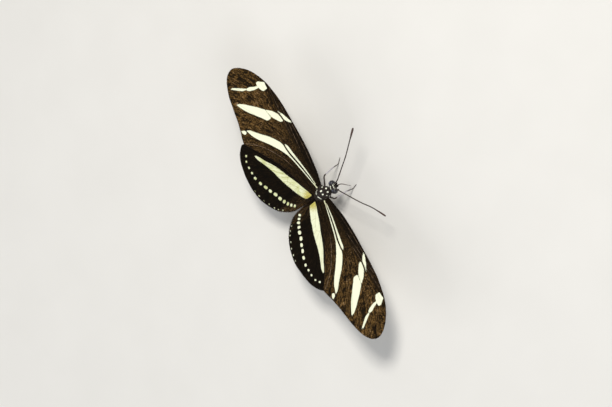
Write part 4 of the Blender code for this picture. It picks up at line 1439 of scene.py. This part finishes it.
def abdomen_coat():
    middle = to_body(body_sower.middles)[:, 0]
    roots, normals, spots = body_sower.sown(np.where(middle < COAT_START, SCALE_DENSITY, 0.0))
    share, _, _ = abdomen_share(to_body(roots))
    count = len(roots)
    slope = abdomen_slope(share)
    lies = np.column_stack([np.zeros(count), np.cos(slope), -np.sin(slope)])
    lies += draw.normal(0.0, 0.12, (count, 3))
    root_part, brush = ease(-share, -0.10, 0.0), ease(share, 0.955, 0.985)
    lengths = some(SCALE_LENGTH, count) + (ROOT_MORE * root_part + BRUSH_MORE * brush)
    widths = SCALE_WIDTH * (0.8 + 0.4 * draw.random(count)) * (1.0 - 0.4 * brush) * (1.0 - 0.4 * root_part)
    lifts = np.radians(7.0 + 7.0 * draw.random(count))
    pale = body_depth(roots) + draw.normal(0.0, SPOT_EDGE, count)
    return grow_blades("scales_abdomen", roots, normals, lies, lengths, widths, lifts, pale, spots,
                       fur_finish)


abdomen_coat()

# %% [markdown]
# Wing margins end in a fringe, and the roots of the wings carry long soft hairs. Both are
# blades again, in one finish. They stand on the wing's own surface, so they need its
# height and its normal, which are found from two small steps on the plan. Their places on
# the colour map come from the plan too, with a quarter of the map for each wing.

# %% Ground for fringe and wing hair
FRINGE_BLACK, FRINGE_BROWN = (0.008, 0.006, 0.0045), linear(72, 54, 42)
PLAN_CORNER, PLAN_SIZE = (-3.0, -21.0), (49.0, 27.0)
QUARTERS = {"fore": 0.02, "l": 0.02, "hind": 0.52, "r": 0.52}
QUARTER_SIZE = 0.46
SMALL_STEP = 0.05

fringe_finish, wire, shader = finish("wing_fringe", Roughness=0.6, Specular_IOR_Level=0.2)
tone = stored(wire, "tone")
dark = mixed(tone * 0.6, FRINGE_BLACK, FRINGE_BROWN)
light = mixed(tone, PALE_YELLOW, CREAM)
feed(shader, Base_Color=mixed(stored(wire, "pale").step(-0.06, 0.02), dark, light))


def surface_frame(plan_places, lift, kind, side):
    """Places on the wing, its normal there, and its ways outward and forward."""
    vein = np.min([line_distance(plan_places, line) for line in plans[kind]["veins"]], axis=0)
    edge = line_distance(plan_places, plans[kind]["rim"])
    lift = lift + sheet_middle(plan_places, vein, edge, kind, side)
    here = wing_place(plan_places, lift, kind, side)
    out = wing_place(plan_places + (SMALL_STEP, 0.0), lift, kind, side) - here
    forward = wing_place(plan_places + (0.0, SMALL_STEP), lift, kind, side) - here
    return here, unit(np.cross(out, forward) * side), unit(out), unit(forward)


def plan_spots(places, kind, label):
    """Where places of a wing's plan lie on its quarter of the colour map."""
    corner = np.array((QUARTERS[kind], QUARTERS[label]))
    return corner + (places - PLAN_CORNER) / PLAN_SIZE * QUARTER_SIZE


print("nodes in the finish of the fringe:", len(fringe_finish.node_tree.nodes))

# %% [markdown]
# The fringe is one row of narrow scales along the margin that point outward, a little
# unevenly. On the hindwing it is longer at the inner margin, and pale next to pale dots.

# %% Fringe
FRINGE_STEP = 0.05
FRINGE_LENGTH, INNER_MORE = 0.19, 0.2
FRINGE_WIDTH = 0.05
FRINGE_SUNK = 0.06
FRINGE_START = 0.5                   # place outward, free of the body


def fringe(kind, label):
    side = SIDES[label]
    line = smooth_curve(plans[kind]["outline"][::4], FRINGE_STEP)
    ways = unit(np.gradient(line, axis=0))
    outward = np.column_stack([-ways[:, 1], ways[:, 0]])
    kept = line[:, 0] > FRINGE_START
    if kind == "hind":
        kept = kept | (line[:, 1] < -7.0)
    line, outward = line[kept], outward[kept]
    here, normals, out, forward = surface_frame(line, 0.0, kind, side)
    lies = out * outward[:, :1] + forward * outward[:, 1:] + draw.normal(0.0, 0.18, here.shape)
    count = len(line)
    inner = (line[:, 0] < 1.5) & (kind == "hind")
    lengths = FRINGE_LENGTH * (0.75 + 0.5 * draw.random(count)) + INNER_MORE * inner
    pale = mark_depth(line - outward * 0.15, kind) if kind == "hind" else np.full(count, -1.0)
    lifts = np.radians(draw.uniform(-5.0, 3.0, count))
    roots = here - unit(lies) * FRINGE_SUNK
    return grow_blades("fringe_" + kind + "_" + label, roots, normals, lies, lengths,
                       np.full(count, FRINGE_WIDTH), lifts, pale, plan_spots(line, kind, label),
                       fringe_finish)


print("fringe of one scale every", FRINGE_STEP, "mm")

# %% [markdown]
# The hairs are thrown over the whole wing and kept by chance, which is high at the root
# and along the inner margin of the hindwing and nothing further out. They lie flat and
# point away from the hinge, and close the slit between the two hindwings over the abdomen.

# %% Fringe and hair of all wings
HAIR_TRIES = 26000
HAIR_LENGTH, HAIR_WIDTH = (0.45, 0.45), 0.026
HAIR_HUB = {"fore": (-4.0, -1.0), "hind": (-3.0, -1.5)}
HAIR_INSET = 0.1


def hair_chance(out, forward, kind):
    if kind == "fore":
        return 1.0 - ease(out, 0.4, 3.2)
    at_root = 1.0 - ease(np.hypot(out, forward + 4.0), 1.0, 5.5)
    at_inner_margin = 0.45 * (1.0 - ease(out, -1.6, 0.9))
    return np.maximum(at_root, at_inner_margin)


def wing_hair(kind, label):
    side, outline = SIDES[label], plans[kind]["outline"]
    tries = draw.uniform(outline.min(0), outline.max(0), (HAIR_TRIES, 2))
    kept = draw.random(len(tries)) < hair_chance(tries[:, 0], tries[:, 1], kind)
    tries = tries[kept & (inside_distance(tries, outline) > HAIR_INSET)]
    away = unit(tries - HAIR_HUB[kind])
    here, normals, out, forward = surface_frame(tries, SHEET_HALF - 0.02, kind, side)
    lies = out * away[:, :1] + forward * away[:, 1:] + draw.normal(0.0, 0.13, here.shape)
    count = len(tries)
    lengths = some(HAIR_LENGTH, count)
    lifts = np.radians(draw.uniform(4.0, 12.0, count))
    return grow_blades("hair_" + kind + "_" + label, here, normals, lies, lengths,
                       np.full(count, HAIR_WIDTH), lifts, mark_depth(tries, kind),
                       plan_spots(tries, kind, label), fringe_finish)


for kind in ("fore", "hind"):
    for label in SIDES:
        fringe(kind, label)
        wing_hair(kind, label)

# %% [markdown]
# A compound eye is a dome of thousands of hexagonal lenses. Its form is a smooth ellipsoid
# set into the head. The lenses are finer than a hair, so they are a bump, laid out as
# cells over the dome, and a clear coat gives the wet gloss. Its upper side has a painted
# bluish sheen, a painted reflection, stored at the points so it stays in place in all views.

# %% Eyes
LENSES_PER_MM, LENS_ORDER = 27.0, 0.25
EYE_BLACKS = ((0.006, 0.006, 0.008), (0.022, 0.020, 0.026))
# painted reflection: colour of the bluish sheen on the eye's upper side
PAINTED_SHEEN_BLUE = linear(112, 120, 146)
LENS_RIM = (0.004, 0.004, 0.006)
# way and strength of the painted sheen
SHEEN_WAY, SHEEN = (0.45, 0.25, 0.85), 0.55
EYE_ROWS, EYE_SIDES = 56, 84

eye_finish, wire, shader = finish("compound_eye", Roughness=0.3, Specular_IOR_Level=0.3, Coat_Weight=0.4,
                                  Coat_Roughness=0.12)
place = place_in_mm(wire)
cloud = place.noise(2.2, 3.0).step(0.35, 0.65)
eye_black = mixed(place.noise(1.6), *EYE_BLACKS)
# painted reflection of the sky, mixed over the eye's own black
eye_colour = mixed(stored(wire, "painted_sheen") * (0.55 + cloud * 0.45), eye_black, PAINTED_SHEEN_BLUE)
eye_colour = mixed(place.cell_tone(LENSES_PER_MM, LENS_ORDER) * 0.12, eye_colour, LENS_RIM)
lens = 1.0 - place.cells(LENSES_PER_MM, random=LENS_ORDER)
feed(shader, Base_Color=eye_colour, Normal=bumped(lens, 0.012, 0.8))


def build_eye(label):
    half = np.array(EYE_HALF) - 0.02
    centre = eye_centre(SIDES[label])
    points, faces = ball(centre, half, HEAD_YAW, EYE_ROWS, EYE_SIDES)
    # share of painted sheen at each point, most where it faces up and out
    facing = unit((points - centre) / half ** 2) @ (np.array(SHEEN_WAY) / np.linalg.norm(SHEEN_WAY))
    return make_piece("compound_eye_" + label, points, faces, eye_finish, ("eye_" + label,),
                      {"painted_sheen": SHEEN * ease(facing, 0.84, 1.0)})


for label in SIDES:
    build_eye(label)

# %% [markdown]
# The feelers are chains of about forty short rings that end in a long club. One tube does
# it: its radius swells a little at the far end of each ring, drops in the joint, and rises
# slowly into the club. Two thicker rings make the base. How far along it a point is, and
# how deep in the club, is stored for the finish.

# %% Antennae
ANTENNA_PATHS = {
    "l": [
        (3.95, 0.3, -0.95), (5.5, 0.55, -0.75), (6.75, 1.05, -0.4), (10.0, 2.9, 0.5),
        (13.15, 4.8, 1.2), (16.8, 7.4, 2.1), (20.5, 10.0, 3.0)],
    "r": [
        (3.75, -0.7, -0.9), (4.9, -2.2, -0.5), (9.1, -8.7, 0.0), (11.5, -12.0, 0.0),
        (12.9, -14.4, 0.0), (14.2, -16.9, 0.0)]}
ANTENNA_RING = 0.46
SHAFT_RADIUS = 0.165
CLUB_RADIUS = {"l": 0.31, "r": 0.24}
ANTENNA_STEP, ANTENNA_SIDES = 0.055, 18
ANTENNA_BLACK, RING_EDGE = (0.010, 0.008, 0.007), linear(84, 64, 50)
ANTENNA_BROWN, CLUB_RED = linear(92, 58, 44), linear(110, 60, 42)

antenna_finish, wire, shader = finish("antenna", Specular_IOR_Level=0.4)
along_mm = stored(wire, "run")
place = place_in_mm(wire)
ring_place = along_mm.math("FRACT", along_mm * (1.0 / ANTENNA_RING))
grain = place.cell_tone(16.0, 0.9)
pale_ring = along_mm.step(0.56, 0.5) - along_mm.step(0.44, 0.38)
ring_colour = mixed(ring_place.step(0.06, 0.16), RING_EDGE, ANTENNA_BLACK)
ring_colour = mixed(grain * 0.16, ring_colour, ANTENNA_BROWN)
ring_colour = mixed(stored(wire, "club") * 0.18, ring_colour, CLUB_RED)
ring_colour = mixed(pale_ring * 0.6, ring_colour, CREAM)
feed(shader, Base_Color=ring_colour, Roughness=0.42 + grain * 0.2,
     Normal=bumped(grain + place.noise(20.0), 0.01, 0.6))


def build_antenna(label):
    path = smooth_curve(on_body(ANTENNA_PATHS[label]), ANTENNA_STEP)
    share = share_along(path)
    run = share * float(np.linalg.norm(np.diff(path, axis=0), axis=1).sum())
    place = run / ANTENNA_RING % 1.0
    club = ease(share, 0.78, 0.93) * (1.0 - 0.35 * ease(share, 0.95, 1.0))
    radius = SHAFT_RADIUS + (CLUB_RADIUS[label] - SHAFT_RADIUS) * club
    radius = radius * (1.0 + 0.07 * place - swell(place, 0.16, 0.03, 0.07))
    radius = radius + swell(run, 0.07, 0.25, 0.22) + swell(run, 0.04, 0.75, 0.15)
    radius = radius * np.sqrt(np.clip((1.0 - share) / 0.018, 0.03, 1.0))
    points, faces = tube(path, radius, ANTENNA_SIDES)
    values = {"run": np.repeat(run, ANTENNA_SIDES), "club": np.repeat(club, ANTENNA_SIDES)}
    return make_piece("antenna_ringed_" + label, points, faces, antenna_finish,
                      ("antenna_" + label,), values)


for label in SIDES:
    build_antenna(label)

# %% [markdown]
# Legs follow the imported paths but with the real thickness. Each point of a path is a
# joint or a bend, and its number is the station there: the knee is at 3 and the ankle just
# past 5. Front legs are small and folded, as in all brush-footed butterflies. Fore and
# hind legs are mirrored, and the middle legs stand as in the picture, each its own way.

# %% Paths of the legs
LEG_PATHS = {
    "foreleg": {"l": [(1.0, 0.8, -2.6), (2.5, 0.95, -3.55), (3.3, 0.95, -4.1), (2.6, 0.9, -4.75),
                      (1.6, 0.85, -5.2)]},
    "midleg": {
        "l": [(-0.5, 0.7, -2.7), (0.7, 2.2, -2.7), (1.9, 4.0, -2.25), (2.35, 4.7, -2.6), (2.9, 5.4, -4.4),
              (3.7, 6.3, -7.1), (4.15, 6.85, -9.4), (4.5, 7.25, -10.6), (5.1, 7.8, -10.78),
              (5.8, 8.4, -10.78)],
        "r": [(-0.5, -0.7, -2.7), (0.5, -1.9, -2.6), (1.5, -2.95, -2.1), (1.95, -3.1, -2.35),
              (2.8, -2.75, -4.2), (3.9, -2.2, -6.6), (4.4, -1.95, -9.2), (4.75, -1.75, -10.55),
              (5.3, -1.55, -10.78), (6.0, -1.35, -10.78)]},
    "hindleg": {
        "l": [(-1.9, 0.7, -2.8), (-3.2, 2.4, -3.4), (-4.5, 4.3, -3.5), (-5.0, 4.9, -3.9), (-6.0, 5.8, -5.7),
              (-7.4, 6.9, -8.3), (-8.3, 7.6, -10.0), (-8.9, 8.0, -10.7), (-9.6, 8.4, -10.78),
              (-10.4, 8.8, -10.78)]}}
for kind in ("foreleg", "hindleg"):
    LEG_PATHS[kind]["r"] = [(forward, -left, height) for forward, left, height in LEG_PATHS[kind]["l"]]
# Radius at each point of the path
LEG_RADII = [0.3, 0.27, 0.23, 0.21, 0.205, 0.195, 0.145, 0.115, 0.105, 0.09]
FORELEG_RADII = [0.22, 0.2, 0.17, 0.15, 0.1]
KNEE, ANKLE = 3.0, 5.2
CLAW_STATION = 9.5
print("stations of a walking leg:", len(LEG_RADII))

# %% [markdown]
# The shins of the middle and hind legs are covered in silvery scales, and the rest is dark
# horn. The station is stored at the points, so the finish knows where the shin is.

# %% Finish of the legs
LEG_BLACK, LEG_BROWN = (0.014, 0.011, 0.010), linear(86, 70, 60)
SHIN_GREYS = (linear(206, 202, 208), linear(112, 104, 108))

leg_finish, wire, shader = finish("leg", Specular_IOR_Level=0.35)
station = stored(wire, "station")
place = place_in_mm(wire)
grain = place.cell_tone(15.0, 0.9)
streaks = place.noise(6.0, 3.0)
shin = station.step(3.15, 3.5) * station.step(ANKLE + 0.5, ANKLE - 0.2)
thigh = station.step(0.6, 1.2) * station.step(2.9, 2.4)
leg_dark = mixed(grain * 0.4 + streaks * 0.2, LEG_BLACK, LEG_BROWN)
leg_grey = mixed(grain * 0.4 + streaks.step(0.45, 0.65) * 0.35, *SHIN_GREYS)
leg_colour = mixed(shin * (0.7 + streaks * 0.6).at_most(1.0), leg_dark, leg_grey)
leg_colour = mixed(thigh * streaks.step(0.5, 0.75) * 0.3, leg_colour, leg_grey)
feed(shader, Base_Color=leg_colour, Roughness=0.45 + grain * 0.2, Normal=bumped(grain, 0.012, 0.7))
print("nodes in the finish of the legs:", len(leg_finish.node_tree.nodes))

# %% [markdown]
# A leg is one tube whose radius is set at its joints: thigh, knee, shin with a slight
# waist, and five short foot segments that each widen to a joint. Two curved claws end each
# foot. They are tubes too, joined into the leg's mesh.

# %% Legs and claws
FOOT_HEIGHT = -10.89                 # lowest line of a foot, from the hinge line
HEEL_RISE = 0.16
FOOT_JOINTS = 5
LEG_STEP, LEG_SIDES = 0.07, 14
CLAW_STEP, CLAW_SIDES = 0.03, 8
# Way along the foot, to the side and up, in the order of the claw's bend
CLAW_BEND = ((0.0, 0.04, 0.0), (0.14, 0.09, 0.05), (0.26, 0.12, 0.0), (0.31, 0.12, -0.085))


def leg_radius(kind, station, share, given_share, last):
    """The radius at each point, with its joints and segments."""
    if kind == "foreleg":
        radius = np.interp(share, given_share, FORELEG_RADII) + swell(station, 0.03, 2.0, 0.12)
    else:
        radius = np.interp(share, given_share, LEG_RADII)
        radius = radius + swell(station, 0.05, KNEE, 0.16) - swell(station, 0.03, 3.45, 0.2)
        radius = radius + swell(station, 0.035, ANKLE, 0.07)
        toe = np.clip((station - ANKLE) / (last - ANKLE), 0.0, 1.0) * FOOT_JOINTS
        segment = 0.028 * (toe % 1.0) ** 2 - swell(toe % 1.0, 0.03, 0.0, 0.08)
        radius = radius + np.where(toe > 0, segment, 0.0)
    return radius * np.sqrt(np.clip((1.0 - share) / 0.008, 0.2, 1.0))


def leg_line(kind, label):
    """The middle line of a leg in space, its stations and its radius."""
    given = np.array(LEG_PATHS[kind][label], float)
    if kind != "foreleg":
        given[-2:, 2] = FOOT_HEIGHT
        given[-3, 2] = FOOT_HEIGHT + HEEL_RISE
    path = smooth_curve(given, LEG_STEP)
    share, given_share = share_along(path), share_along(given)
    station = np.interp(share, given_share, np.arange(len(given)))
    return on_body(path), station, leg_radius(kind, station, share, given_share, len(given) - 1)


def claw_forms(line):
    """Two curved claws at the end of a foot."""
    way = unit((line[-1] - line[-8])[None])[0]
    across = np.cross(way, (0.0, 0.0, 1.0))
    forms = []
    for side in (1, -1):
        bend = [line[-1] + way * on + across * off * side + (0.0, 0.0, up) for on, off, up in CLAW_BEND]
        path = smooth_curve(bend, CLAW_STEP)
        forms.append(tube(path, np.linspace(0.045, 0.008, len(path)), CLAW_SIDES))
    return forms


def build_leg(kind, label):
    line, station, radius = leg_line(kind, label)
    parts = [tube(line, radius, LEG_SIDES)] + (claw_forms(line) if kind != "foreleg" else [])
    points = np.vstack([p for p, _ in parts])
    points[:, 2] = np.maximum(points[:, 2], 0.0)
    faces, start = [], 0
    for part_points, part_faces in parts:
        faces += [tuple(start + i for i in face) for face in part_faces]
        start += len(part_points)
    values = np.full(len(points), CLAW_STATION)
    values[:len(station) * LEG_SIDES] = np.repeat(station, LEG_SIDES)
    make_piece(kind + "_jointed_" + label, points, faces, leg_finish, (kind + "_" + label,),
               {"station": values})
    leg_scales(kind, label, line, radius, station)


print("claws point", CLAW_BEND[-1][0], "mm past the foot")

# %% [markdown]
# Flat scales grow all round a leg, and one blade in ten is a spine that stands up from it.
# On the shins most scales are silvery. The map for their colours is a strip for each leg,
# with the way along it and the angle round it.

# %% All six legs
SCALES_PER_LENGTH = {"foreleg": 55, "midleg": 46, "hindleg": 46}
SPINE_SHARE = 0.10
# For a spine and for a flat scale
LEG_SCALE_LENGTH, LEG_SCALE_WIDTH, LEG_SCALE_LIFT = (0.26, 0.15), (0.024, 0.045), (42.0, 9.0)
FORELEG_LONGER = 1.5
FLOOR_CLEAR = 0.07
TILTED_UP = (0.13, 0.21, 1.0)        # a way that no leg runs along
SCALE_BLACK, SCALE_BROWN = (0.010, 0.008, 0.0075), linear(84, 68, 58)
SILVERS = (linear(214, 208, 216), linear(140, 132, 138))

scale_finish, wire, shader = finish("leg_scales", Roughness=0.5, Specular_IOR_Level=0.35)
tone = stored(wire, "tone")
scale_dark = mixed(tone * 0.6, SCALE_BLACK, SCALE_BROWN)
scale_grey = mixed(tone, *SILVERS)
feed(shader, Base_Color=mixed(stored(wire, "pale").step(-0.05, 0.05), scale_dark, scale_grey))


def leg_scales(kind, label, line, radius, station):
    """Flat scales all round the leg, and spines among them."""
    run = share_along(line) * np.linalg.norm(np.diff(line, axis=0), axis=1).sum()
    foreleg = kind == "foreleg"
    count = int(run[-1] * SCALES_PER_LENGTH[kind])
    at = draw.uniform(0.3, run[-1] * 0.995, count)
    spine = draw.random(count) < SPINE_SHARE
    centre = np.column_stack([np.interp(at, run, line[:, k]) for k in range(3)])
    ways = unit(np.column_stack([np.interp(at, run, np.gradient(line[:, k])) for k in range(3)]))
    side = unit(np.cross(ways, np.array(TILTED_UP)))
    other = np.cross(ways, side)
    angle = draw.uniform(0.0, math.tau, count)
    normals = side * np.cos(angle)[:, None] + other * np.sin(angle)[:, None]
    roots = centre + normals * np.interp(at, run, radius)[:, None]
    lies = ways + draw.normal(0.0, 0.1, ways.shape)
    lengths = np.where(spine, *LEG_SCALE_LENGTH) * (0.8 + 0.4 * draw.random(count))
    lengths = lengths * (FORELEG_LONGER if foreleg else 1.0)
    widths = np.where(spine, *LEG_SCALE_WIDTH)
    lifts = np.radians(np.where(spine, *LEG_SCALE_LIFT) + 8.0 * draw.random(count))
    place = np.interp(at, run, station)
    on_shin = (place > 3.2) & (place < ANKLE + 0.2) & (not foreleg)
    pale = np.where(on_shin & ~spine & (draw.random(count) < 0.85), 1.0, -1.0)
    above = roots[:, 2] > FLOOR_CLEAR
    strip = list(SIDES).index(label) * len(LEG_PATHS) + list(LEG_PATHS).index(kind)
    strips = len(SIDES) * len(LEG_PATHS)
    spots = np.column_stack([0.02 + 0.96 * at / run[-1], (strip + 0.1 + 0.8 * angle / math.tau) / strips])
    return grow_blades("scales_" + kind + "_" + label, roots[above], normals[above], lies[above],
                       lengths[above], widths[above], lifts[above], pale[above], spots[above],
                       scale_finish)


for kind in LEG_PATHS:
    for label in SIDES:
        build_leg(kind, label)

# %% [markdown]
# The drinking tube is two half pipes zipped together, so its section is a figure of eight
# with a seam in front and behind. Fine rings let it bend. It hangs straight down, as it
# does while the butterfly drinks.

# %% Proboscis
PROBOSCIS_PATH = [
    (3.5, 0.0, -2.7), (4.15, 0.05, -3.05), (4.75, 0.0, -3.6), (5.0, -0.1, -4.6), (5.0, -0.35, -6.4),
    (4.85, -0.55, -8.4), (4.6, -0.6, -10.45)]
TUBE_STEP, TUBE_SIDES = 0.05, 24
TUBE_SHARES, TUBE_RADII = [0.0, 0.3, 1.0], [0.17, 0.13, 0.06]
SEAM_DEPTH, SEAM_HALF = 0.3, 0.06
RING_TURNS = 62.0                    # radians of ring pattern for each millimetre
TUBE_BLACK, TUBE_BROWN = (0.016, 0.012, 0.010), linear(104, 66, 40)

proboscis_finish, wire, shader = finish("proboscis", Specular_IOR_Level=0.5)
ring = wire.math("SINE", stored(wire, "run") * RING_TURNS)
place = place_in_mm(wire)
tube_colour = mixed(place.noise(5.0) * 0.5 + ring * 0.12, TUBE_BLACK, TUBE_BROWN)
feed(shader, Base_Color=tube_colour, Roughness=0.36 + place.noise(9.0) * 0.15,
     Normal=bumped(ring, 0.006, 0.6))


def build_proboscis():
    path = smooth_curve(on_body(PROBOSCIS_PATH), TUBE_STEP)
    run = share_along(path) * np.linalg.norm(np.diff(path, axis=0), axis=1).sum()
    points, faces = tube(path, np.interp(share_along(path), TUBE_SHARES, TUBE_RADII), TUBE_SIDES)
    angle = np.arange(TUBE_SIDES) * math.tau / TUBE_SIDES
    pinch = (1.0 - swell(np.abs(np.cos(angle)), SEAM_DEPTH, 1.0, SEAM_HALF))[None, :, None]
    rings = path[:, None] + (points.reshape(-1, TUBE_SIDES, 3) - path[:, None]) * pinch
    return make_piece("proboscis_ringed", rings.reshape(-1, 3), faces, proboscis_finish,
                      ("proboscis",), {"run": np.repeat(run, TUBE_SIDES)})


build_proboscis()
